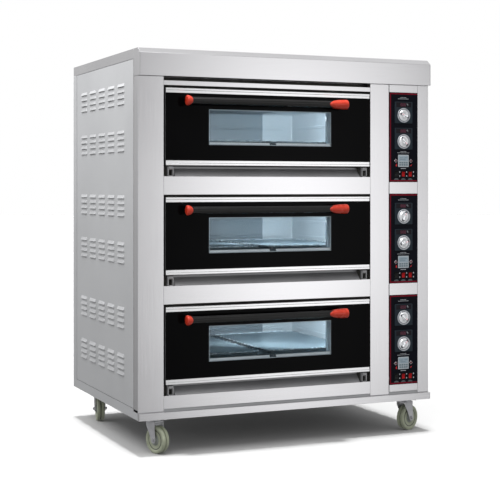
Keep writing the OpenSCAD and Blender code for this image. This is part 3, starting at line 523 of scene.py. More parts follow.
def add_post(bm, x0, x1, left_return, right_return):
    """One upright channel, folded from a flat outline seen from above."""
    outline = [(x0, left_return), (x0, front), (x1, front), (x1, right_return), (x1 - sheet, right_return),
               (x1 - sheet, front + sheet), (x0 + sheet, front + sheet), (x0 + sheet, left_return)]
    face = bm.faces.new([bm.verts.new((x, y, post_low.z)) for x, y in outline])
    grown = bmesh.ops.extrude_face_region(bm, geom=[face])["geom"]
    verts = [v for v in grown if isinstance(v, bmesh.types.BMVert)]
    bmesh.ops.translate(bm, vec=(0, 0, post_high.z - post_low.z), verts=verts)


posts = bmesh.new()
add_post(posts, -half_w, bay_left, post_high.y, rail_back)
add_post(posts, bay_right, controls_left, rail_back, rail_back)
add_post(posts, controls_right, half_w, rail_back, post_high.y)
make_piece("folded_posts", posts, [steel_upright], "root", "stainless", "front_posts", fold=0.0028,
           segments=4)

# ---- Rails, header bar and control strips ----
# Folded channels between the posts, open to the back: one under each door, one
# over the top door, and short ones above and below each control panel.

door_box = [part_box(f"{deck}_door_casing") for deck in decks]
door_z = [high.z - 0.307 for low, high in door_box]
recess_h, rail_h, bottom_rail_h, header_h = 0.043, 0.073, 0.054, 0.019
panel_h, panel_drop, seam = 0.382, 0.064, 0.0004
panel_z = [z - panel_drop for z in door_z]


def add_channel(bm, x0, x1, z0, z1):
    """A channel open to the back, with a small return lip behind each flange."""
    lip = 0.006
    add_length(bm, [
        (rail_back, z0), (front, z0), (front, z1), (rail_back, z1), (rail_back, z1 - lip),
        (rail_back - sheet, z1 - lip), (rail_back - sheet, z1 - sheet), (front + sheet, z1 - sheet),
        (front + sheet, z0 + sheet), (rail_back - sheet, z0 + sheet), (rail_back - sheet, z0 + lip),
        (rail_back, z0 + lip)], x0, x1)


rails = bmesh.new()
add_channel(rails, bay_left, bay_right, door_z[0] - recess_h - bottom_rail_h + sheet, door_z[0] - recess_h)
for z in door_z[1:]:
    add_channel(rails, bay_left, bay_right, z - recess_h - rail_h, z - recess_h)
add_channel(rails, bay_left, bay_right, post_high.z - 0.015 - header_h, post_high.z - 0.015)
strip_x = (controls_left + 0.0026, controls_right - seam)
add_channel(rails, *strip_x, base_high.z + seam, panel_z[0] - seam)
for lower, upper in zip(panel_z, panel_z[1:]):
    add_channel(rails, *strip_x, lower + panel_h + seam, upper - seam)
add_channel(rails, *strip_x, panel_z[2] + panel_h + seam, post_high.z)
make_piece("folded_rails", rails, [steel_across], "root", "stainless", "front_rails", fold=0.0012, segments=3)

# ---- Sills and hinge brackets ----
# A steel sheet slopes up from each rail to the oven mouth, and catches crumbs; its
# colour is darkened as painted shade under the doors. The doors swing on steel brackets
# in the same painted-shade colour, each with two ears and a pin.

sill_painted_shade = mottled("sill_painted_shade_sheet", (0.30, 0.30, 0.31), (0.38, 0.38, 0.39), (0.36, 0.44), 5, 300, 0.01,
                    {"Metallic": 0.5})
zinc = mottled("zinc_plate", (0.42, 0.42, 0.43), (0.58, 0.58, 0.58), (0.3, 0.45), 55, 900, 0.05,
               {"Metallic": 1.0})
sill_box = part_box("door_sills")
sills = bmesh.new()
for z in door_z:
    low = z - recess_h
    run = rail_back - 0.011
    lift = low + recess_h - 0.012
    thick = 0.0012
    add_length(sills, [
        (front + 0.002, low + 0.0004), (run, lift), (run, z - 0.004), (rail_back, z - 0.004),
        (rail_back, z - 0.004 - thick),
        (run + thick, z - 0.004 - thick), (run + thick, lift - thick), (front + 0.004, low + 0.0004)],
               sill_box[0].x, sill_box[1].x)
    for x in (sill_box[0].x, sill_box[1].x - 0.0015):
        add_length(sills, [(front + 0.004, low + 0.0004), (run, lift), (run, low + 0.0004)], x, x + 0.0015)
make_piece("sloping_sills", sills, [sill_painted_shade], "root", "dark_sheet", "door_sills", fold=0.0008)

knuckle_w, ear, play, pin_r = 0.016, 0.004, 0.0003, 0.004
hinge_y = front + 0.006
brackets = bmesh.new()
for z in door_z:
    axis_z = z - 0.010
    foot = z - recess_h
    for side in (-1, 1):
        edge = bay_x + side * (0.912 / 2 - 0.014)
        near, far = sorted((edge, edge - side * knuckle_w))
        for x0, x1 in ((near - play - ear, near - play), (far + play, far + play + ear)):
            verts = add_block(brackets, (x0, front, foot), (x1, hinge_y + 0.010, axis_z + 0.007))
            rounded = [e for e in {e for v in verts for e in v.link_edges}
                       if all(v.co.z > axis_z for v in e.verts)
                       and abs(e.verts[0].co.y - e.verts[1].co.y) < 1e-6]
            bmesh.ops.bevel(brackets, geom=rounded, offset=0.005, segments=5, affect="EDGES", profile=0.5,
                            material=-1)
        add_block(brackets, (near - play - ear, front, foot),
                  (far + play + ear, hinge_y + 0.010, foot + 0.003))
        add_turned(brackets,
                   [(0, 0), (pin_r - 0.0005, 0), (pin_r, 0.0005), (pin_r, far - near + 2 * ear + 0.002),
                    (pin_r - 0.0005, far - near + 2 * ear + 0.0025),
                    (0, far - near + 2 * ear + 0.0025)],
                   (near - play - ear - 0.001, hinge_y, axis_z), (1, 0, 0), 24)
# The brackets take the same painted-shade colour as the sills.
make_piece("hinge_ears_and_pins", brackets, [sill_painted_shade], "root", "door_steel", "hinge_brackets", fold=0.0004,
           segments=1)

# ---- Baking chambers ----
# Each chamber is a welded box of aluminised sheet with a face frame round its
# mouth. Pressed ribs stiffen its back and side walls.

aluminised = mottled("aluminised_sheet_painted_shade", (0.46, 0.53, 0.575), (0.54, 0.61, 0.655), (0.38, 0.5), 5, 300, 0.02,
                     {"Metallic": 0.2})
# Painted shade: left of x = 0.185 the sheet takes a darker tone, darkest at the far left, which stands in for
# the shade inside the chamber.
tree = aluminised.node_tree
base = tree.nodes["Principled BSDF"].inputs["Base Color"]
fresh = base.links[0].from_socket
across = add_node(tree, "ShaderNodeSeparateXYZ",
                  {0: tree.nodes["Texture Coordinate"].outputs["Object"]}).outputs
painted_shade_edge = add_node(tree, "ShaderNodeMapRange", {"Value": across["X"], "From Min": 0.184, "From Max": 0.187})
toward_painted_shade_edge = add_node(tree, "ShaderNodeMapRange", {"Value": across["X"], "From Min": -0.20, "From Max": 0.19})
painted_shade_tone = two_tone(tree, toward_painted_shade_edge.outputs["Result"], (0.10, 0.132, 0.155), (0.185, 0.235, 0.27))
painted_shade_mix = add_node(tree, "ShaderNodeMix", {0: painted_shade_edge.outputs["Result"], 6: painted_shade_tone, 7: fresh}, data_type="RGBA")
tree.links.new(painted_shade_mix.outputs[2], base)
liner, face_frame, rib_w, rib_out = 0.003, 0.024, 0.012, 0.003
for deck, z in zip(decks, door_z):
    low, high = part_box(f"{deck}_chamber")
    inner_low = Vector((low.x + face_frame, low.y, low.z + face_frame))
    inner_high = Vector((high.x - face_frame, high.y - liner, high.z - face_frame))
    box_bm = bmesh.new()
    add_block(box_bm, inner_low, inner_high)
    mouth = [f for f in box_bm.faces if f.normal.y < -0.9]
    bmesh.ops.delete(box_bm, geom=mouth, context="FACES_ONLY")
    upright = [e for e in box_bm.edges if e.verts[0].co.y > low.y + 0.1 and e.verts[1].co.y > low.y + 0.1
               or abs(e.verts[0].co.y - e.verts[1].co.y) > 0.1]
    bmesh.ops.bevel(box_bm, geom=upright, offset=0.008, segments=3, affect="EDGES", profile=0.5, material=-1)
    bmesh.ops.recalc_face_normals(box_bm, faces=box_bm.faces)
    bmesh.ops.solidify(box_bm, geom=box_bm.faces[:], thickness=-liner)
    frame_bm = pierced_sheet((low.x, high.x), (low.z, high.z),
                             [((inner_low.x + 0.001, inner_high.x - 0.001),
                               (inner_low.z + 0.001, inner_high.z - 0.001))],
                             liner)
    place_part(box_bm, frame_bm, Matrix.Translation((0, low.y, 0)))
    for height in (0.055, 0.125):
        rib_z = inner_low.z + height
        verts = add_block(box_bm, (inner_low.x + 0.05, inner_high.y - rib_out, rib_z),
                          (inner_high.x - 0.05, inner_high.y + 0.001, rib_z + rib_w))
        for wall_x, inward in ((inner_low.x, 1), (inner_high.x, -1)):
            near, far = sorted((wall_x - inward * 0.001, wall_x + inward * rib_out))
            add_block(box_bm, (near, low.y + 0.06, rib_z), (far, inner_high.y - 0.05, rib_z + rib_w))
    make_piece(f"{deck}_chamber_liner", box_bm, [aluminised], "root", "aluminised_steel", f"{deck}_chamber",
               fold=0.0012, segments=2)

# ---- Baking pans ----
# Two pressed pans stand side by side in each chamber. Their walls slope in to the
# bottom and end in a rolled rim with a wire in it.

pan_finish = mottled("pan_aluminised", (0.22, 0.31, 0.36), (0.34, 0.44, 0.50), (0.28, 0.4), 8, 300, 0.02,
                     {"Metallic": 0.6})
# The pan bottoms take a darker tone than their walls.
pan_dark_tone = mottled("pan_dark_tone_bottom", (0.07, 0.10, 0.12), (0.13, 0.17, 0.20), (0.4, 0.55), 6, 300,
                       0.02, {"Metallic": 0.2})
pan_rim = mottled("pan_rolled_rim", (0.50, 0.59, 0.64), (0.66, 0.74, 0.78), (0.22, 0.32), 40, 300, 0.02,
                  {"Metallic": 0.5})
pan_w, pan_l, pan_corner = 0.398, 0.598, 0.026
rim = 0.005
for deck in decks:
    low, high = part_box(f"{deck}_pans")
    pans = bmesh.new()
    for middle in (low.x + rim + pan_w / 2, high.x - rim - pan_w / 2):
        pan = bmesh.new()
        verts = bmesh.ops.create_grid(pan, x_segments=1, y_segments=1, size=0.5)["verts"]
        bmesh.ops.scale(pan, vec=(pan_w + 2 * rim - 0.006, pan_l + 2 * rim - 0.006, 1), verts=verts)
        bmesh.ops.bevel(pan, geom=verts, offset=pan_corner + rim, segments=6, affect="VERTICES", profile=0.5,
                        material=-1)
        face = pan.faces[:]
        steps = ((0.0, 0.0035), (0.004, 0.001), (0.001, -0.003), (0.009, -0.040), (0.006, -0.0075))
        bmesh.ops.translate(pan, vec=(0, 0, high.z - 0.0045), verts=pan.verts)
        for inward, rise in steps:
            if inward:
                bmesh.ops.inset_region(pan, faces=face, thickness=inward, use_even_offset=True)
            else:
                face = [f for f in bmesh.ops.extrude_face_region(pan, geom=face)["geom"]
                        if isinstance(f, bmesh.types.BMFace)]
            bmesh.ops.translate(pan, vec=(0, 0, rise), verts=list({v for f in face for v in f.verts}))
        for f in pan.faces:
            f.material_index = 1 if f in face else 2 if f.calc_center_median().z > high.z - 0.004 else 0
        bmesh.ops.recalc_face_normals(pan, faces=pan.faces)
        bmesh.ops.solidify(pan, geom=pan.faces[:], thickness=0.0012)
        place_part(pans, pan, Matrix.Translation((middle, (low.y + high.y) / 2, 0)))
    make_piece(f"{deck}_pressed_pans", pans, [pan_finish, pan_dark_tone, pan_rim], "root", "pan_steel",
               f"{deck}_pans")

# ---- Heating elements, insulation and chassis ----
# Steel-sheathed elements lie over and under each chamber, in mineral wool. The
# contactors and the relays are on a zinc-plated sheet beside the wool.

sheath = brushed("element_sheath", (0.13, 0.115, 0.10), (0.24, 0.22, 0.20), (0.4, 0.6), "X")
wool = mottled("mineral_wool", (0.085, 0.082, 0.074), (0.17, 0.165, 0.15), (0.9, 1.0), 14, 220, 0.6)
give("heating_elements", sheath)
give("insulation", wool)
give("electrical_chassis", zinc)

# ---- Door casings and trims ----
# Each door is a hollow steel casing with a tunnel behind its window. A bright
# folded strip in two steps clamps the glass along the top, another along the bottom.

casing_steel = brushed("door_casing_steel", (0.30, 0.30, 0.31), (0.40, 0.40, 0.41), (0.35, 0.48), "X")
trim_steel = brushed("bright_trim_steel", (0.64, 0.64, 0.65), (0.69, 0.69, 0.70), (0.14, 0.20), "X", 0.006)
tunnel_steel = mottled("tunnel_aluminised", (0.30, 0.37, 0.42), (0.40, 0.47, 0.52), (0.35, 0.45), 7, 300,
                       0.02, {"Metallic": 0.35})
door_w, door_h, glass_t, trim_out = 0.912, 0.307, 0.005, 0.002
window_w, window_h, window_rise = 0.544, 0.140, 0.084
door_left, door_right = bay_x - door_w / 2, bay_x + door_w / 2
window_x = (bay_x - window_w / 2, bay_x + window_w / 2)
wall_t = 0.0015
knuckle_r = 0.0087
for deck, z, (low, high) in zip(decks, door_z, door_box):
    window_z = (z + window_rise, z + window_rise + window_h)
    casing = bmesh.new()
    for y in (front, high.y - wall_t):
        skin = pierced_sheet((door_left, door_right), (z, z + door_h), [(window_x, window_z)], wall_t)
        place_part(casing, skin, Matrix.Translation((0, y, 0)))
    depth = (front + wall_t, high.y - wall_t)
    for x in (window_x[0] - wall_t, window_x[1]):
        add_block(casing, (x, depth[0], window_z[0]), (x + wall_t, depth[1], window_z[1]))
    for height in (window_z[0] - wall_t, window_z[1]):
        add_block(casing, (window_x[0] - wall_t, depth[0], height),
                  (window_x[1] + wall_t, depth[1], height + wall_t))
    for face in casing.faces:
        face.material_index = 1 if depth[0] < face.calc_center_median().y < depth[1] else 0
    for x in (door_left, door_right - wall_t):
        add_block(casing, (x, depth[0], z), (x + wall_t, depth[1], z + door_h))
    for height in (z, z + door_h - wall_t):
        add_block(casing, (door_left, depth[0], height), (door_right, depth[1], height + wall_t))
    for side in (-1, 1):
        edge = bay_x + side * (door_w / 2 - 0.014)
        near, far = sorted((edge, edge - side * knuckle_w))
        add_turned(casing, [(pin_r + 0.0001, 0), (knuckle_r, 0), (knuckle_r, far - near),
                            (pin_r + 0.0001, far - near),
                            (pin_r + 0.0001, 0)], (near, hinge_y, z - 0.010), (1, 0, 0), 32)
        add_block(casing, (near, hinge_y + pin_r, z - 0.010), (far, hinge_y + knuckle_r, z))
        for screw in (0.07, 0.15, 0.24):
            add_turned(casing, [(0, 0), (0.0045, 0), (0.0042, 0.0012), (0.0025, 0.0022), (0, 0.0025)],
                       (bay_x + side * (door_w / 2 - 0.02), high.y, z + screw), (0, 1, 0), 20)
    make_piece(f"{deck}_door_shell", casing, [casing_steel, tunnel_steel], f"{deck}_door", "door_steel",
               f"{deck}_door_casing",
               fold=0.0005, segments=2)
    trims = bmesh.new()
    face_y = front - glass_t - trim_out
    step_y = front - glass_t - trim_out * 0.3
    for edge, up in ((z, 1), (z + door_h, -1)):
        add_length(trims, [(front - 0.0002, edge), (face_y + 0.0012, edge), (face_y, edge + up * 0.0012),
                           (face_y, edge + up * 0.0084), (step_y, edge + up * 0.0094),
                           (step_y, edge + up * 0.0196),
                           (front - 0.0002, edge + up * 0.0196)], door_left, door_right)
    make_piece(f"{deck}_door_trims", trims, [trim_steel], f"{deck}_door", "door_steel", f"{deck}_door_casing",
               fold=0.0006, segments=3)

# ---- Door glass and window ----
# The front is one sheet of glass, black enamelled on its back except for a clear
# window with a pale printed line round it. A second pane closes the casing's tunnel.

enamel = mottled("black_enamelled_glass", (0.0010, 0.0010, 0.0012), (0.0020, 0.0020, 0.0023), (0.05, 0.10), 3,
                 20, 0.01, {"Specular IOR Level": 0.03})
window_line = mottled("window_line", (0.30, 0.37, 0.42), (0.40, 0.47, 0.52), (0.3, 0.4), 20, 200, 0.02)
clear_glass = mottled("clear_window_glass", (0.86, 0.90, 0.92), (0.89, 0.925, 0.945), (0.0, 0.004), 2.5, 30,
                      0.0, {"Transmission Weight": 1.0, "IOR": 1.14, "Specular IOR Level": 0.5})
stop_dark = mottled("window_stop_dark", (0.035, 0.055, 0.07), (0.06, 0.085, 0.10), (0.3, 0.45), 40, 500, 0.02)
line_w = 0.0024
ledge_steel = brushed("window_ledge_steel", (0.80, 0.86, 0.89), (0.92, 0.95, 0.97), (0.3, 0.42), "X", 0.02,
                      0.1)
for deck, z in zip(decks, door_z):
    low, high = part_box(f"{deck}_door_glass")
    window_z = (z + window_rise, z + window_rise + window_h)
    black = bmesh.new()
    place_part(black,
               pierced_sheet((low.x, high.x), (low.z, high.z), [(window_x, window_z)], glass_t - 0.0003),
               Matrix.Translation((0, low.y, 0)))
    make_piece(f"{deck}_black_glass", black, [enamel], f"{deck}_door", "black_glass", f"{deck}_door_glass",
               fold=0.0006, segments=2)
    clear_bm = bmesh.new()
    gap = 0.0001
    add_block(clear_bm, (window_x[0] + gap, low.y + 0.0008, window_z[0] + gap),
              (window_x[1] - gap, front - 0.0006, window_z[1] - gap))
    add_block(clear_bm, (window_x[0] + 0.0003, high.y - 0.004, window_z[0] + 0.0003),
              (window_x[1] - 0.0003, high.y, window_z[1] - 0.0003))
    make_piece(f"{deck}_window_panes", clear_bm, [clear_glass], f"{deck}_door", "black_glass",
               f"{deck}_door_glass",
               fold=0.0004, segments=1)
    ledge = bmesh.new()
    foot = window_z[0] + 0.0003
    middle = (window_x[0] + window_x[1]) / 2 + 0.010
    for x0, x1 in ((window_x[0] + 0.0004, middle - 0.0145), (middle + 0.0145, window_x[1] - 0.0004)):
        add_length(ledge,
                   [(front + 0.0004, foot), (front + 0.0004, foot + 0.0045), (front + 0.0022, foot + 0.0056),
                    (front + 0.0022, foot + 0.0100), (front + 0.0034, foot + 0.0100),
                    (front + 0.0034, foot + 0.0010), (high.y - 0.0046, foot + 0.0010),
                    (high.y - 0.0046, foot)],
                   x0, x1)
    make_piece(f"{deck}_window_ledge", ledge, [ledge_steel], f"{deck}_door", "door_steel", fold=0.0004,
               segments=2)
    stop = bmesh.new()
    round_top = [(middle + 0.015 * math.cos(math.pi * k / 12), foot + (0.010 if deck == "upper" else 0.016)
                  * math.sin(math.pi * k / 12)) for k in range(13)]
    face = stop.faces.new([stop.verts.new((x, front + 0.0006, height)) for x, height in round_top])
    grown = bmesh.ops.extrude_face_region(stop, geom=[face])["geom"]
    bmesh.ops.translate(stop, vec=(0, 0.006, 0),
                        verts=[v for v in grown if isinstance(v, bmesh.types.BMVert)])
    make_piece(f"{deck}_window_stop", stop, [stop_dark], f"{deck}_door", "door_steel", fold=0.0005,
               segments=2)
    printed = pierced_sheet((window_x[0] - line_w * 0.5, window_x[1] + line_w * 0.5),
                            (window_z[0] - line_w * 0.5, window_z[1] + line_w * 0.5),
                            [((window_x[0] + line_w * 0.5, window_x[1] - line_w * 0.5),
                              (window_z[0] + line_w * 0.5, window_z[1] - line_w * 0.5))], 0.0003)
    line_bm = bmesh.new()
    place_part(line_bm, printed, Matrix.Translation((0, low.y - 0.0002, 0)))
    make_piece(f"{deck}_window_line", line_bm, [window_line], f"{deck}_door", "black_glass", fold=0.0001,
               segments=1)

# ---- Handles ----
# A satin black tube on two stand-offs crosses each door. A glossy orange-red cap
# is pushed on each end: short and round at the left, long and bullet-shaped at the right.

satin_black = mottled("handle_satin_black", (0.004, 0.004, 0.004), (0.009, 0.009, 0.009), (0.20, 0.28), 18,
                      800, 0.04, {"Specular IOR Level": 0.35})
orange_cap = mottled("cap_orange_red", (0.52, 0.034, 0.015), (0.62, 0.048, 0.022), (0.22, 0.32), 30, 300,
                     0.02, {"Coat Weight": 0.15, "Coat Roughness": 0.1, "Specular IOR Level": 0.3})
bar_r, cap_r, standoff_r, reach = 0.014, 0.020, 0.009, 0.040
left_cap, right_cap = 0.024, 0.088


def add_cap(bm, end, toward, length, middle_y, middle_z):
    """A cap pushed on a bar's end: a blunt rounded rim, and a mouth cut back in a curve above and below."""
    profile = [(0, 0.0), (cap_r - 0.006, 0.0), (cap_r - 0.0024, 0.0008), (cap_r - 0.0006, 0.0026),
               (cap_r, 0.005)]
    rings = []
    for radius, along in profile:
        rings.append([(radius, along)] * 48)
    for share in (0.25, 0.45, 0.6, 0.72, 0.82, 0.9, 0.96, 1.0, 1.0):
        ring = []
        for k in range(48):
            front_on = abs(math.cos(2 * math.pi * k / 48))
            mouth = length * (0.50 + 0.50 * front_on ** 0.8)
            nose = bar_r + 0.0007 + (cap_r - bar_r - 0.0007) * math.sqrt(max(0.0, 1 - share ** 3))
            ring.append((nose if len(rings) < 13 else bar_r - 0.001, 0.005 + (mouth - 0.005) * share))
        rings.append(ring)
    shells = [[bm.verts.new((end + toward * along, middle_y - radius * math.cos(2 * math.pi * k / 48),
                             middle_z + radius * math.sin(2 * math.pi * k / 48))) for k,
               (radius, along) in enumerate(ring)]
              for ring in rings[1:]]
    bm.faces.new(shells[0])
    for inner, outer in zip(shells, shells[1:]):
        for k in range(48):
            bm.faces.new((inner[k], inner[(k + 1) % 48], outer[(k + 1) % 48], outer[k]))


for deck in decks:
    low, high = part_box(f"{deck}_door_handle")
    axis_y, axis_z = low.y + cap_r, (low.z + high.z) / 2
    bar = bmesh.new()
    start, end = low.x + left_cap / 2, high.x - right_cap / 2
    add_turned(bar, [(0, 0), (bar_r, 0), (bar_r, (end - start) / 2), (bar_r, end - start), (0, end - start)],
               (start, axis_y, axis_z), (1, 0, 0), 64)
    for x in (low.x + left_cap + 0.012, high.x - right_cap - 0.012):
        add_turned(bar, [(standoff_r, 0), (standoff_r, reach - 0.004), (standoff_r + 0.0015, reach - 0.002),
                         (standoff_r + 0.004, reach - 0.0015), (standoff_r + 0.004, reach)],
                   (x, axis_y, axis_z), (0, 1, 0), 40)
    make_piece(f"{deck}_handle_bar", bar, [satin_black], f"{deck}_door", "handle_black",
               f"{deck}_door_handle")
    caps = bmesh.new()
    add_cap(caps, low.x, 1, left_cap, axis_y, axis_z)
    add_cap(caps, high.x, -1, right_cap, axis_y, axis_z)
    make_piece(f"{deck}_handle_caps", caps, [orange_cap], f"{deck}_door", "handle_black",
               f"{deck}_door_handle")

# ---- Chamber lamps ----
# A lamp at the top of each chamber, just behind the mouth, lights the pans and walls.

for deck, z in zip(decks, door_z):
    add_soft_light(f"{deck}_chamber_lamp", (bay_x + 0.12, front + 0.18, z + 0.245),
                   (bay_x + 0.30, front + 0.42, z + 0.07),
                   (0.50, 0.10), 4.0)

# ---- Control panels ----
# Three black plates with a glossy printed film. A dark red line runs along each
# plate's top, left and bottom edges; small marks stand in for the captions.

film_black = mottled("panel_film_black", (0.0014, 0.0018, 0.0050), (0.0028, 0.0034, 0.0085), (0.20, 0.30), 12,
                     700, 0.03, {"Specular IOR Level": 0.06})
print_red = mottled("print_dark_red", (0.16, 0.003, 0.012), (0.22, 0.004, 0.018), (0.3, 0.4), 30, 500, 0.02,
                    {"Specular IOR Level": 0.1})
print_bright = mottled("print_bright_red", (0.60, 0.006, 0.010), (0.72, 0.012, 0.016), (0.3, 0.4), 30, 500,
                       0.02)
print_pale = mottled("print_pale_grey", (0.42, 0.44, 0.47), (0.55, 0.57, 0.60), (0.35, 0.45), 30, 500, 0.02)
print_dim = mottled("print_dim_grey", (0.055, 0.065, 0.075), (0.085, 0.095, 0.105), (0.35, 0.45), 30, 500,
                    0.02)
stat_w, stat_h, stat_rise, timer_rise, switch_rise = 0.087, 0.092, (0.186, 0.298), 0.090, 0.034
timer_w, lamp_offset, switch_pitch, switch_w, switch_h = 0.052, 0.037, 0.034, 0.020, 0.028
panel_x = (controls_left + 0.0026, controls_right - seam)
panel_t = 0.003
plates = bmesh.new()
for z in panel_z:
    holes = [((controls_x - stat_w / 2 + 0.002, controls_x + stat_w / 2 - 0.002),
              (z + rise - stat_h / 2 + 0.004, z + rise + stat_h / 2 - 0.004)) for rise in stat_rise]
    holes += [((controls_x - timer_w / 2 + 0.002, controls_x + timer_w / 2 - 0.002),
               (z + timer_rise - timer_w / 2 + 0.002, z + timer_rise + timer_w / 2 - 0.002))]
    holes += [((controls_x + k * switch_pitch - switch_w / 2 + 0.001,
                controls_x + k * switch_pitch + switch_w / 2 - 0.001),
               (z + switch_rise - switch_h / 2 + 0.001, z + switch_rise + switch_h / 2 - 0.001))
              for k in (-1, 0, 1)]
    place_part(plates, pierced_sheet(panel_x, (z, z + panel_h), holes, panel_t),
               Matrix.Translation((0, front, 0)))
make_piece("printed_panels", plates, [film_black], "root", "panel_black", "control_panels", fold=0.0005,
           segments=2)

ink = 0.00025


def add_mark(bm, corners):
    """A flat printed mark on the panel's film: an outline in X and Z, a hair thick."""
    face = bm.faces.new([bm.verts.new((x, front - ink, z)) for x, z in corners])
    grown = bmesh.ops.extrude_face_region(bm, geom=[face])["geom"]
    bmesh.ops.translate(bm, vec=(0, ink, 0), verts=[v for v in grown if isinstance(v, bmesh.types.BMVert)])


def add_bar_mark(bm, x, z, width, height):
    """A printed bar about its middle."""
    add_mark(bm, [(x - width / 2, z - height / 2), (x + width / 2, z - height / 2),
                  (x + width / 2, z + height / 2), (x - width / 2, z + height / 2)])


borders = bmesh.new()
dim_marks = bmesh.new()
bright_marks = bmesh.new()
pale_marks = bmesh.new()
line, inset = 0.0056, 0.0020
for z in panel_z:
    left, right = panel_x[0] + inset, panel_x[1] - inset
    low, high = z + inset, z + panel_h - inset
    add_mark(borders, [(left, low), (right, low), (right, low + line), (left + line, low + line),
                       (left + line, high - line), (right, high - line), (right, high), (left, high)])
    drop = (controls_x - lamp_offset + 0.003, z + timer_rise - 0.019)
    add_mark(bright_marks, [(drop[0] - 0.0030, drop[1] - 0.003), (drop[0], drop[1] - 0.006),
                            (drop[0] + 0.0030, drop[1] - 0.003),
                            (drop[0] + 0.0024, drop[1] + 0.002), (drop[0] + 0.001, drop[1] + 0.008),
                            (drop[0] - 0.0008, drop[1] + 0.004), (drop[0] - 0.0026, drop[1] + 0.002)])
    bolt = (controls_x + lamp_offset + 0.001, z + timer_rise - 0.019)
    add_mark(bright_marks, [(bolt[0] - 0.0055, bolt[1] - 0.0055), (bolt[0] - 0.0001, bolt[1] - 0.0012),
                            (bolt[0] + 0.0007, bolt[1] - 0.0028), (bolt[0] + 0.0055, bolt[1] + 0.0055),
                            (bolt[0] + 0.0001, bolt[1] + 0.0012), (bolt[0] - 0.0007, bolt[1] + 0.0028)])
    for rise, widths in ((0.361, (0.030, 0.058)), (0.130, (0.034, 0.060))):
        for row, width in enumerate(widths):
            dashes = int(width / 0.0075)
            for dash in range(dashes):
                add_bar_mark(pale_marks, controls_x + (dash - (dashes - 1) / 2) * 0.0075,
                             z + rise - row * 0.0055,
                             0.0055, 0.0022)
    add_bar_mark(pale_marks, controls_x, z + timer_rise - 0.0325, 0.026, 0.0026)
    for k in (-1, 0, 1):
        x = controls_x + k * switch_pitch
        add_bar_mark(pale_marks, x + 0.0165, z + switch_rise + 0.0085, 0.0045, 0.0055)
        add_bar_mark(pale_marks, x + 0.0165, z + switch_rise - 0.0085, 0.0045, 0.0055)
        arch = [(x + 0.0115 * math.cos(math.pi * k / 8), z + 0.0085 + 0.0075 * math.sin(math.pi * k / 8))
                for k in range(9)]
        add_mark(dim_marks, arch)
make_piece("panel_border_lines", borders, [print_red], "root", "panel_black", fold=0.00005, segments=1)
make_piece("panel_red_symbols", bright_marks, [print_bright], "root", "panel_black", fold=0.00005, segments=1)
make_piece("panel_dim_marks", dim_marks, [print_dim], "root", "panel_black", fold=0.00005, segments=1)
make_piece("panel_pale_marks", pale_marks, [print_pale], "root", "panel_black", fold=0.00005, segments=1)

# ---- Thermostats ----
# Each thermostat has a moulded dark front with a three-digit display at its top
# and a scale ring of pale plastic round the knob.

stat_grey = mottled("thermostat_moulding", (0.010, 0.018, 0.027), (0.017, 0.027, 0.038), (0.38, 0.48), 40,
                    1100, 0.12, {"Specular IOR Level": 0.2})
screen_dark = mottled("display_window", (0.006, 0.005, 0.009), (0.010, 0.008, 0.013), (0.12, 0.2), 40, 300,
                      0.02, {"Specular IOR Level": 0.1})
digit_red = mottled("display_digits", (0.10, 0.020, 0.04), (0.14, 0.028, 0.055), (0.3, 0.4), 60, 300, 0.02,
                    {"Emission Color": (0.30, 0.030, 0.09, 1), "Emission Strength": 0.20})
ring_pale = mottled("scale_ring_pale", (0.42, 0.44, 0.48), (0.54, 0.56, 0.60), (0.25, 0.35), 40, 600, 0.04,
                    {"Metallic": 0.7})
ring_dark = mottled("scale_ring_dark", (0.10, 0.11, 0.125), (0.14, 0.15, 0.17), (0.3, 0.4), 40, 600, 0.04)
stat_t, ring_r, knob_r, dial_drop = 0.004, 0.031, 0.024, 0.013


def rounded_slab(bm, middle, width, height, y0, y1, radius, rim=0.0):
    """A slab in X and Z with rounded corners and a bevelled front edge."""
    part = bmesh.new()
    verts = bmesh.ops.create_grid(part, x_segments=1, y_segments=1, size=0.5)["verts"]
    bmesh.ops.scale(part, vec=(width, height, 1), verts=verts)
    bmesh.ops.bevel(part, geom=verts, offset=radius, segments=4, affect="VERTICES", profile=0.5, material=-1)
    front_face = [f for f in bmesh.ops.extrude_face_region(part, geom=part.faces[:])["geom"]
                  if isinstance(f, bmesh.types.BMFace)]
    bmesh.ops.translate(part, vec=(0, 0, y1 - y0 - rim), verts=list({v for f in front_face for v in f.verts}))
    if rim:
        bmesh.ops.inset_region(part, faces=front_face, thickness=rim, depth=rim, use_even_offset=True)
    stand = Matrix.Translation((middle[0], y1, middle[1])) @ Matrix.Rotation(math.radians(90), 4, "X")
    place_part(bm, part, stand)


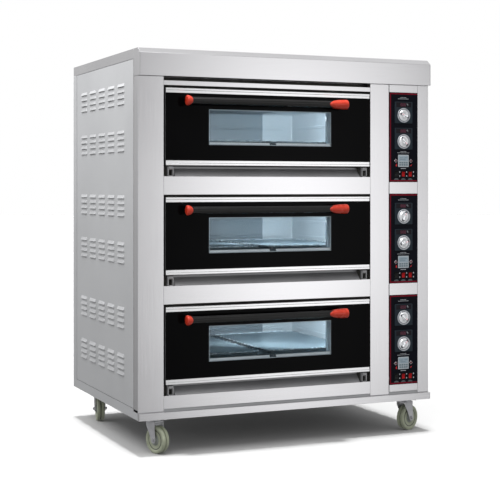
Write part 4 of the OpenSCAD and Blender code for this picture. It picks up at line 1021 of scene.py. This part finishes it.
fronts, screens, digits, pale_rings, dark_rings = (bmesh.new() for _ in range(5))
segment_places = {"top": (0, 2, 1), "left_high": (-1, 1, 0), "right_high": (1, 1, 0), "middle": (0, 0, 1),
                  "left_low": (-1, -1, 0), "right_low": (1, -1, 0), "bottom": (0, -2, 1)}
for z in panel_z:
    for rise in stat_rise:
        middle = z + rise
        screen_z = middle + stat_h / 2 - 0.014
        rounded_slab(fronts, (controls_x, middle - 0.001), stat_w, stat_h, front - stat_t, front, 0.003,
                     0.0008)
        rounded_slab(screens, (controls_x, screen_z), 0.074, 0.020, front - stat_t - 0.0003, front - 0.002,
                     0.0012)
        for digit in (-1, 0, 1):
            for across, up, flat in segment_places.values():
                size = (0.0044, 0.0011) if flat else (0.0011, 0.0046)
                x = controls_x - 0.003 + digit * 0.0094 + across * 0.0028
                height = screen_z + up * 0.0029
                add_block(digits, (x - size[0] / 2, front - stat_t - 0.0005, height - size[1] / 2),
                          (x + size[0] / 2, front - stat_t - 0.0002, height + size[1] / 2))
        dial_z = middle - dial_drop
        base = front - stat_t
        add_turned(pale_rings, [(0.0008, 0), (0.0019, 0), (0.0019, 0.0004), (0.0008, 0.0004), (0.0008, 0)],
                   (controls_x + 0.0165, base - 0.0002, screen_z + 0.0035), (0, -1, 0), 24)
        for low, high in (((0.0190, -0.0030), (0.0200, 0.0030)), ((0.0200, 0.0020), (0.0222, 0.0030)),
                          ((0.0200, -0.0030), (0.0222, -0.0020))):
            add_block(pale_rings, (controls_x + low[0], base - 0.0006, screen_z + low[1]),
                      (controls_x + high[0], base - 0.0002, screen_z + high[1]))
        add_turned(pale_rings,
                   [(ring_r - 0.0045, 0), (ring_r, 0), (ring_r, 0.0014), (ring_r - 0.0008, 0.0021),
                    (ring_r - 0.0038, 0.0021), (ring_r - 0.0045, 0.0014), (ring_r - 0.0045, 0)],
                   (controls_x, base, dial_z), (0, -1, 0), 64)
        add_turned(dark_rings, [(knob_r + 0.0005, 0), (ring_r - 0.0045, 0), (ring_r - 0.0045, 0.0012),
                                (knob_r + 0.0005, 0.0012), (knob_r + 0.0005, 0)], (controls_x, base, dial_z),
                   (0, -1, 0), 64)
        for tick in range(21):
            turn = math.radians(-150 + tick * 15)
            long = 0.0036 if tick % 5 == 0 else 0.0024
            verts = add_block(pale_rings, (-0.00035, base - 0.0015, knob_r + 0.0009),
                              (0.00035, base - 0.0011, knob_r + 0.0009 + long))
            bmesh.ops.rotate(pale_rings, verts=verts, cent=(0, 0, 0), matrix=Matrix.Rotation(turn, 3, "Y"))
            bmesh.ops.translate(pale_rings, verts=verts, vec=(controls_x, 0, dial_z))
make_piece("thermostat_fronts", fronts, [stat_grey], "root", "thermostat_front", "thermostats")
make_piece("thermostat_screens", screens, [screen_dark], "root", "thermostat_front", "thermostats")
make_piece("thermostat_digits", digits, [digit_red], "root", "thermostat_front")
make_piece("scale_rings", pale_rings, [ring_pale], "root", "thermostat_front", "thermostats")
make_piece("scale_ring_beds", dark_rings, [ring_dark], "root", "thermostat_front", "thermostats")

# ---- Knobs ----
# Each knob is a white moulded dial with a waisted grip across it and a red pointer
# line. It turns on a steel shaft from the thermostat behind.

dial_white = mottled("dial_silver_white", (0.86, 0.88, 0.92), (0.95, 0.96, 0.98), (0.16, 0.26), 90, 900, 0.03,
                     {"Metallic": 0.75})
# Painted shade and reflection: the dark grey outline round each grip stands in for the dark that the grip's
# curved flanks take.
grip_painted_shade = mottled("dial_grip_painted_shade", (0.05, 0.055, 0.07), (0.10, 0.11, 0.13), (0.35, 0.45), 90, 900, 0.03)
pointer_red = mottled("pointer_red", (0.62, 0.015, 0.05), (0.74, 0.025, 0.07), (0.3, 0.4), 60, 900, 0.02)
knob_out = 0.012
grip_l, grip_w = 0.017, 0.0042


def add_grip(bm, angle, centre, base_y, top_y, scale):
    """The waisted grip bar of a knob: two bowed sides and round ends, pulled in towards its top."""
    outline = []
    for end in (1, -1):
        for k in range(9):
            turn = math.pi * k / 8
            outline.append((end * grip_w * 1.25 * math.cos(turn) * scale,
                            end * (grip_l - 0.005 + 0.005 * math.sin(turn)) * scale))
        for share in (0.6, 0.2, -0.2, -0.6):
            waist = grip_w * (0.62 + 0.6 * share * share)
            outline.append((-end * waist * scale, end * share * grip_l * scale * 0.8))
    part = bmesh.new()
    face = part.faces.new([part.verts.new((x, 0, z)) for x, z in outline])
    top = [f for f in bmesh.ops.extrude_face_region(part, geom=[face])["geom"]
           if isinstance(f, bmesh.types.BMFace)]
    bmesh.ops.translate(part, vec=(0, top_y - base_y + 0.001, 0), verts=top[0].verts)
    bmesh.ops.inset_region(part, faces=top, thickness=0.0007, use_even_offset=True)
    bmesh.ops.translate(part, vec=(0, -0.001, 0), verts=top[0].verts)
    place = Matrix.Translation((centre[0], base_y, centre[1])) @ Matrix.Rotation(angle, 4, "Y")
    place_part(bm, part, place)


dial_turns = {"lower": (45, 128), "middle": (75, 25), "upper": (138, -69)}
for deck, z in zip(decks, panel_z):
    for heat, rise, turn in zip(("bottom_heat", "top_heat"), stat_rise, dial_turns[deck]):
        node = f"{deck}_{heat}_knob"
        centre = (controls_x, z + rise - dial_drop)
        base = front - stat_t - 0.0003
        face_y = front - stat_t - knob_out
        angle = math.radians(turn)
        dial = bmesh.new()
        add_turned(dial, [(0, 0), (knob_r - 0.0006, 0), (knob_r, 0.0006), (knob_r, 0.0020),
                          (knob_r - 0.0008, 0.0028),
                          (knob_r - 0.0035, 0.0040), (knob_r - 0.0055, 0.0070), (knob_r - 0.0072, 0.0082),
                          (0, 0.0085)], (centre[0], base, centre[1]), (0, -1, 0), 64)
        add_turned(dial, [(0, -0.014), (0.003, -0.014), (0.003, 0.001)], (centre[0], base, centre[1]),
                   (0, -1, 0), 24)
        add_grip(dial, angle, centre, base - 0.0080, face_y, 1.0)
        make_piece(f"{node}_dial", dial, [dial_white], node, "dial_white", node)
        # The piece named groove is no groove: a flat dark outline round the grip's foot, as painted shade and
        # reflection.
        painted_shade_outline = bmesh.new()
        add_grip(painted_shade_outline, angle, centre, base - 0.0076, base - 0.0091, 1.34)
        make_piece(f"{node}_groove", painted_shade_outline, [grip_painted_shade], node, "dial_white")
        pointer = bmesh.new()
        verts = add_block(pointer, (-0.0010, face_y - 0.0002, 0.004),
                          (0.0010, face_y + 0.0006, grip_l - 0.001))
        verts += add_block(pointer, (-0.0008, base - 0.0042, knob_r - 0.0036),
                           (0.0008, base - 0.0028, knob_r - 0.0008))
        bmesh.ops.rotate(pointer, verts=verts, matrix=Matrix.Rotation(angle, 3, "Y"))
        bmesh.ops.translate(pointer, verts=verts, vec=(centre[0], 0, centre[1]))
        make_piece(f"{node}_pointer", pointer, [pointer_red], node, "dial_white")

# ---- Timers ----
# A pale blue-grey display in a light bezel on each panel, with a block of soft keys
# in its lower half.

screen_pale = mottled("timer_display", (0.27, 0.36, 0.43), (0.38, 0.47, 0.54), (0.18, 0.3), 45, 500, 0.03)
bezel_pale = mottled("timer_bezel", (0.42, 0.48, 0.52), (0.52, 0.58, 0.62), (0.3, 0.4), 40, 600, 0.04)
key_grey = mottled("timer_keys", (0.13, 0.19, 0.23), (0.20, 0.26, 0.30), (0.35, 0.45), 40, 600, 0.04)
bezels, displays, keys = bmesh.new(), bmesh.new(), bmesh.new()
for z in panel_z:
    middle = (controls_x, z + timer_rise)
    rounded_slab(bezels, middle, timer_w, timer_w, front - 0.002, front, 0.002, 0.0006)
    rounded_slab(displays, (middle[0], middle[1] + 0.010), 0.044, 0.022, front - 0.0023, front - 0.001, 0.001)
    for row in range(2):
        for column in range(4):
            rounded_slab(keys, (middle[0] - 0.0165 + column * 0.011, middle[1] - 0.0075 - row * 0.0095),
                         0.0085, 0.0068, front - 0.0030, front - 0.001, 0.0012, 0.0004)
    for bar_x, bar_z, width in ((-0.010, 0.013, 0.016), (0.011, 0.014, 0.012), (-0.004, 0.006, 0.026)):
        add_block(keys, (middle[0] + bar_x - width / 2, front - 0.0025, middle[1] + bar_z - 0.0011),
                  (middle[0] + bar_x + width / 2, front - 0.0022, middle[1] + bar_z + 0.0011))
make_piece("timer_bezels", bezels, [bezel_pale], "root", "timer_screen", "timers")
make_piece("timer_displays", displays, [screen_pale], "root", "timer_screen", "timers")
make_piece("timer_keys", keys, [key_grey], "root", "timer_screen")

# ---- Indicator lamps ----
# A domed dark-red lens in a bright plated bezel turned to a diamond, at each side
# of the timer.

bezel_chrome = mottled("lamp_bezel_plated", (0.34, 0.31, 0.33), (0.46, 0.43, 0.45), (0.16, 0.26), 120, 900,
                       0.03, {"Metallic": 0.9})
lens_red = mottled("lamp_lens_red", (0.07, 0.002, 0.010), (0.11, 0.004, 0.016), (0.12, 0.2), 120, 400, 0.02,
                   {"Specular IOR Level": 0.25})
diamonds, lenses = bmesh.new(), bmesh.new()
lamp_side, lens_r = 0.0132, 0.0042
for z in panel_z:
    for side in (-1, 1):
        x, height = controls_x + side * lamp_offset, z + timer_rise
        made = bmesh.ops.create_cone(diamonds, cap_ends=True, segments=4, radius1=lamp_side / math.sqrt(2),
                                     radius2=lamp_side / math.sqrt(2) - 0.0016, depth=0.0020)["verts"]
        bmesh.ops.rotate(diamonds, verts=made, matrix=Matrix.Rotation(math.radians(90), 3, "X"))
        bmesh.ops.translate(diamonds, verts=made, vec=(x, front - 0.0010, height))
        bed = bmesh.ops.create_cone(lenses, cap_ends=True, segments=4, radius1=0.0062, radius2=0.0058,
                                    depth=0.0006)["verts"]
        bmesh.ops.rotate(lenses, verts=bed, matrix=Matrix.Rotation(math.radians(90), 3, "X"))
        bmesh.ops.translate(lenses, verts=bed, vec=(x, front - 0.0022, height))
        dome = [(lens_r * math.cos(math.pi / 2 * k / 6),
                 0.0018 + lens_r * 0.45 * math.sin(math.pi / 2 * k / 6))
                for k in range(7)]
        add_turned(lenses, [(lens_r, 0.0005)] + dome, (x, front, height), (0, -1, 0), 32)
make_piece("lamp_bezels", diamonds, [bezel_chrome], "root", "lamp_red", "indicator_lamps", fold=0.0003,
           segments=1)
make_piece("lamp_lenses", lenses, [lens_red], "root", "lamp_red", "indicator_lamps")

# ---- Rocker switches ----
# Three rocker switches stand in a row at the bottom of each panel, each in a black
# moulded frame: a black one for the lamp, and red ones for the power and the timer.

frame_black = mottled("switch_frame_black", (0.004, 0.004, 0.005), (0.008, 0.008, 0.009), (0.4, 0.5), 90,
                      1200, 0.08, {"Specular IOR Level": 0.15})
rocker_black = mottled("rocker_black", (0.004, 0.004, 0.005), (0.008, 0.008, 0.009), (0.25, 0.35), 90, 900,
                       0.04, {"Specular IOR Level": 0.2})
rocker_red = mottled("rocker_red", (0.38, 0.004, 0.006), (0.50, 0.008, 0.010), (0.15, 0.25), 90, 500, 0.03,
                     {"Specular IOR Level": 0.15})
frames_bm = bmesh.new()
for z in panel_z:
    for k in (-1, 0, 1):
        x, height = controls_x + k * switch_pitch, z + switch_rise
        ring = pierced_sheet((x - switch_w / 2, x + switch_w / 2),
                             (height - switch_h / 2, height + switch_h / 2),
                             [((x - 0.0077, x + 0.0077), (height - 0.0115, height + 0.0115))], 0.0015)
        place_part(frames_bm, ring, Matrix.Translation((0, front - 0.0015, 0)))
        well = pierced_sheet((x - 0.0085, x + 0.0085), (height - 0.0125, height + 0.0125),
                             [((x - 0.0077, x + 0.0077), (height - 0.0115, height + 0.0115))], 0.014)
        place_part(frames_bm, well, Matrix.Translation((0, front, 0)))
        add_block(frames_bm, (x - 0.0085, front + 0.014, height - 0.0125),
                  (x + 0.0085, front + 0.021, height + 0.0125))
make_piece("switch_frames", frames_bm, [frame_black], "root", "switch_black", "switch_housings", fold=0.0005,
           segments=2)

rocker_w, rocker_h, rocker_y = 0.0148, 0.020, 0.005
for deck, z in zip(decks, panel_z):
    for k, switch in zip((-1, 0, 1), ("lamp", "power", "timer")):
        node = f"{deck}_{switch}_switch"
        half = rocker_h / 2
        rocker = bmesh.new()
        face_curve = [(-0.0080 + 0.0020 * math.cos(math.pi / 2 * t / 5), t / 5 * half) for t in range(-5, 6)]
        outline = face_curve + [(-0.0045, half), (-0.0010, 0.003), (-0.0010, -0.003), (-0.0045, -half)]
        add_length(rocker, outline, -rocker_w / 2, rocker_w / 2)

        place = (Matrix.Translation((controls_x + k * switch_pitch, front + rocker_y, z + switch_rise))
                 @ Matrix.Rotation(math.radians(8), 4, "X"))
        bmesh.ops.transform(rocker, matrix=place, verts=rocker.verts)
        tone = rocker_black if switch == "lamp" else rocker_red
        make_piece(f"{node}_rocker", rocker, [tone], node,
                   "switch_black" if switch == "lamp" else "switch_red", node,
                   fold=0.0008, segments=3)

# ---- Castors ----
# Four swivel castors: a pressed top plate bolted under the base, a ball race, and a
# bent steel fork that carries a wheel with a moulded two-part tread.

castor_steel = mottled("zinc_plated_castor", (0.38, 0.38, 0.40), (0.52, 0.52, 0.54), (0.28, 0.40), 26, 420,
                       0.08, {"Metallic": 0.6})
bolt_steel = mottled("bright_bolts", (0.50, 0.50, 0.52), (0.64, 0.64, 0.66), (0.26, 0.38), 60, 700, 0.05,
                     {"Metallic": 1.0})
tread_cream = mottled("wheel_greenish_nylon", (0.34, 0.37, 0.26), (0.46, 0.49, 0.37), (0.45, 0.58), 26, 500,
                      0.08)
# Painted shade: this dark colour on the tread's groove and the rings beside the hub stands in for the shade
# in these recesses.
groove_painted_shade = mottled("wheel_groove_painted_shade", (0.025, 0.026, 0.026), (0.05, 0.05, 0.05), (0.5, 0.6), 40, 500,
                      0.08)
hub_grey = mottled("hub_grey", (0.20, 0.22, 0.20), (0.30, 0.32, 0.29), (0.4, 0.5), 60, 500, 0.08)
trail, wheel_r, wheel_half = 0.018, 0.054, 0.017
leg_in, leg_t, leg_r, axle_r, hub_half = 0.021, 0.003, 0.013, 0.004, 0.0207
castor_turns = {"front_left": -68.5, "front_right": 21.5, "rear_left": -100.5, "rear_right": 200}
plate_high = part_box("castor_plates")[1]
plate_w, plate_d, plate_t, race_r, race_h = 0.095, 0.076, 0.005, 0.026, 0.008
castor_x, plate_top = half_w - 0.087, plate_high.z
castor_spots = {f"{end}_{side}": (sign * castor_x, y) for end, y in
                (("front", front + 0.052), ("rear", back - 0.120)) for side,
                sign in (("left", -1), ("right", 1))}
crown_z = plate_top - plate_t - race_h - 0.0003 - 0.005

plates_bm = bmesh.new()
for x, y in castor_spots.values():
    add_block(plates_bm, (x - plate_w / 2, y - plate_d / 2, plate_top - plate_t),
              (x + plate_w / 2, y + plate_d / 2, plate_top))
    race = plate_top - plate_t
    add_turned(plates_bm, [(0, 0), (race_r + 0.004, 0), (race_r + 0.004, 0.0012), (race_r, 0.003),
                           (race_r, race_h), (0, race_h)], (x, y, race), (0, 0, -1), 48)
make_piece("castor_top_plates", plates_bm, [castor_steel], "root", "castor_steel", "castor_plates",
           fold=0.0012,
           segments=3)

for castor, turn in castor_turns.items():
    x, y = castor_spots[castor]
    stand = Matrix.Translation((x, y, 0)) @ Matrix.Rotation(math.radians(turn), 4, "Z")
    fork_bm = bmesh.new()
    for side in (-1, 1):
        leg = bmesh.new()
        outline = [(-0.025, crown_z + 0.002), (-0.024, crown_z - 0.012),
                   (trail - leg_r - 0.012, wheel_r + 0.026)]
        for k in range(9):
            bend = math.radians(180 + 180 * k / 8)
            outline.append((trail + leg_r * math.cos(bend), wheel_r + leg_r * math.sin(bend)))
        outline += [(0.026, crown_z - 0.016), (0.026, crown_z + 0.002)]
        face = leg.faces.new([leg.verts.new((u, side * leg_in, w)) for u, w in outline])
        grown = bmesh.ops.extrude_face_region(leg, geom=[face])["geom"]
        bmesh.ops.translate(leg, vec=(0, side * leg_t, 0),
                            verts=[v for v in grown if isinstance(v, bmesh.types.BMVert)])
        place_part(fork_bm, leg, stand)
        ends = bmesh.new()
        reach = leg_in + leg_t
        add_turned(ends, [(0, 0), (0.0078, 0), (0.0078, 0.0012), (0, 0.0012)], (trail, side * reach, wheel_r),
                   (0, side, 0), 32)
        add_turned(ends, [(0, 0), (0.0072, 0), (0.0072, 0.0044), (0.0060, 0.0054), (0, 0.0054)],
                   (trail, side * (reach + 0.0012), wheel_r), (0, side, 0), 6)
        add_turned(ends, [(0, 0), (axle_r, 0), (axle_r, 0.0015), (axle_r - 0.0006, 0.0020), (0, 0.0020)],
                   (trail, side * (reach + 0.0060), wheel_r), (0, side, 0), 24)
        place_part(fork_bm, ends, stand)
    crown = bmesh.new()
    add_block(crown, (-0.026, -leg_in - leg_t, crown_z), (0.026, leg_in + leg_t, crown_z + 0.005))
    add_turned(crown, [(0, 0), (0.024, 0), (0.024, 0.0030), (0.019, 0.0050), (0, 0.0050)],
               (0, 0, crown_z + 0.0002),
               (0, 0, -1), 48)
    add_turned(crown, [(axle_r, 0), (axle_r, (leg_in + leg_t) * 2)], (trail, -leg_in - leg_t, wheel_r),
               (0, 1, 0), 24)
    place_part(fork_bm, crown, stand)
    make_piece(f"{castor}_fork_steel", fork_bm, [castor_steel], f"{castor}_castor", "castor_steel",
               f"{castor}_fork",
               fold=0.0008, segments=2)
    tread = bmesh.new()
    half, groove = wheel_half, wheel_r - 0.0048
    for side in (-1, 1):
        rim = [(groove, 0.0016), (wheel_r - 0.0003, 0.0032)]
        rim += [(wheel_r - 0.005 + 0.005 * math.cos(math.radians(a)),
                 half - 0.005 + 0.005 * math.sin(math.radians(a)))
                for a in (0, 22, 45, 68, 90)]
        web = rim + [(wheel_r - 0.010, half), (wheel_r - 0.0125, half - 0.0022),
                     (wheel_r - 0.0155, half - 0.0030),
                     (0.0160, half - 0.0030), (0.0150, half - 0.0026)]
        add_turned(tread, [(radius, side * across) for radius, across in web], (0, 0, 0), (0, 1, 0), 96)
    wheel_place = stand @ Matrix.Translation((trail, 0, wheel_r))
    bmesh.ops.transform(tread, matrix=wheel_place, verts=tread.verts)
    make_piece(f"{castor}_wheel_tread", tread, [tread_cream], f"{castor}_wheel", "wheel_rubber",
               f"{castor}_wheel")
    # Painted shade: a dark floor in the tread's groove, and a dark ring on each face between tread and hub.
    core = bmesh.new()
    add_turned(core, [(groove, -0.0018), (groove, 0.0018)], (0, 0, 0), (0, 1, 0), 96)
    hub = bmesh.new()
    add_turned(hub,
               [(axle_r + 0.0003, -hub_half), (0.012, -hub_half), (0.015, -hub_half + 0.002), (0.0155, 0),
                (0.015, hub_half - 0.002), (0.012, hub_half), (axle_r + 0.0003, hub_half)], (0, 0, 0),
               (0, 1, 0), 48)
    for side in (-1, 1):
        add_turned(hub,
                   [(0.0150, 0.0135), (0.0150, 0.0160), (0.0205, 0.0160), (0.0225, 0.0148), (0.0225, 0.0138)],
                   (0, 0, 0), (0, side, 0), 48)
        add_turned(core, [(0.0355, 0.0139), (0.0355, 0.01425), (0.0385, 0.01425), (0.0385, 0.0139)],
                   (0, 0, 0),
                   (0, side, 0), 64)
    bmesh.ops.transform(core, matrix=wheel_place, verts=core.verts)
    make_piece(f"{castor}_wheel_groove", core, [groove_painted_shade], f"{castor}_wheel", "wheel_rubber",
               f"{castor}_wheel")
    bmesh.ops.transform(hub, matrix=wheel_place, verts=hub.verts)
    make_piece(f"{castor}_wheel_hub", hub, [hub_grey], f"{castor}_wheel", "wheel_rubber", f"{castor}_wheel")

# ---- Bolts and screws ----
# Hex bolts hold the castor plates to the base with nuts inside, and round-headed
# screws hold the back panel to the body.

bolts = bmesh.new()
bolt_inset = 0.012
for x, y in castor_spots.values():
    for along in (-1, 1):
        for across in (-1, 1):
            spot = (x + along * (plate_w / 2 - bolt_inset), y + across * (plate_d / 2 - bolt_inset))
            head_z = plate_top - plate_t
            add_turned(bolts, [(0, 0), (0.0068, 0), (0.0068, 0.0036), (0.0058, 0.0046), (0, 0.0046)],
                       (*spot, head_z), (0, 0, -1), 6)
            add_turned(bolts, [(0.0039, 0), (0.0039, plate_t + 0.010)], (*spot, head_z), (0, 0, 1), 20)
            add_turned(bolts, [(0, 0), (0.0066, 0), (0.0066, 0.0045), (0.0058, 0.0052), (0, 0.0052)],
                       (*spot, plate_top + 0.0022), (0, 0, 1), 6)
cover_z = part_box("top_cover")[0].z
for side in (-1, 1):
    for k in range(6):
        height = base_high.z + 0.060 + k * (cover_z - base_high.z - 0.120) / 5
        add_turned(bolts, [(0, 0), (0.0050, 0), (0.0046, 0.0013), (0.0030, 0.0022), (0, 0.0025)],
                   (side * (half_w - 0.020), back, height), (0, 1, 0), 20)
make_piece("bolts_and_nuts", bolts, [bolt_steel], "root", "castor_steel", "fasteners", crease=28)
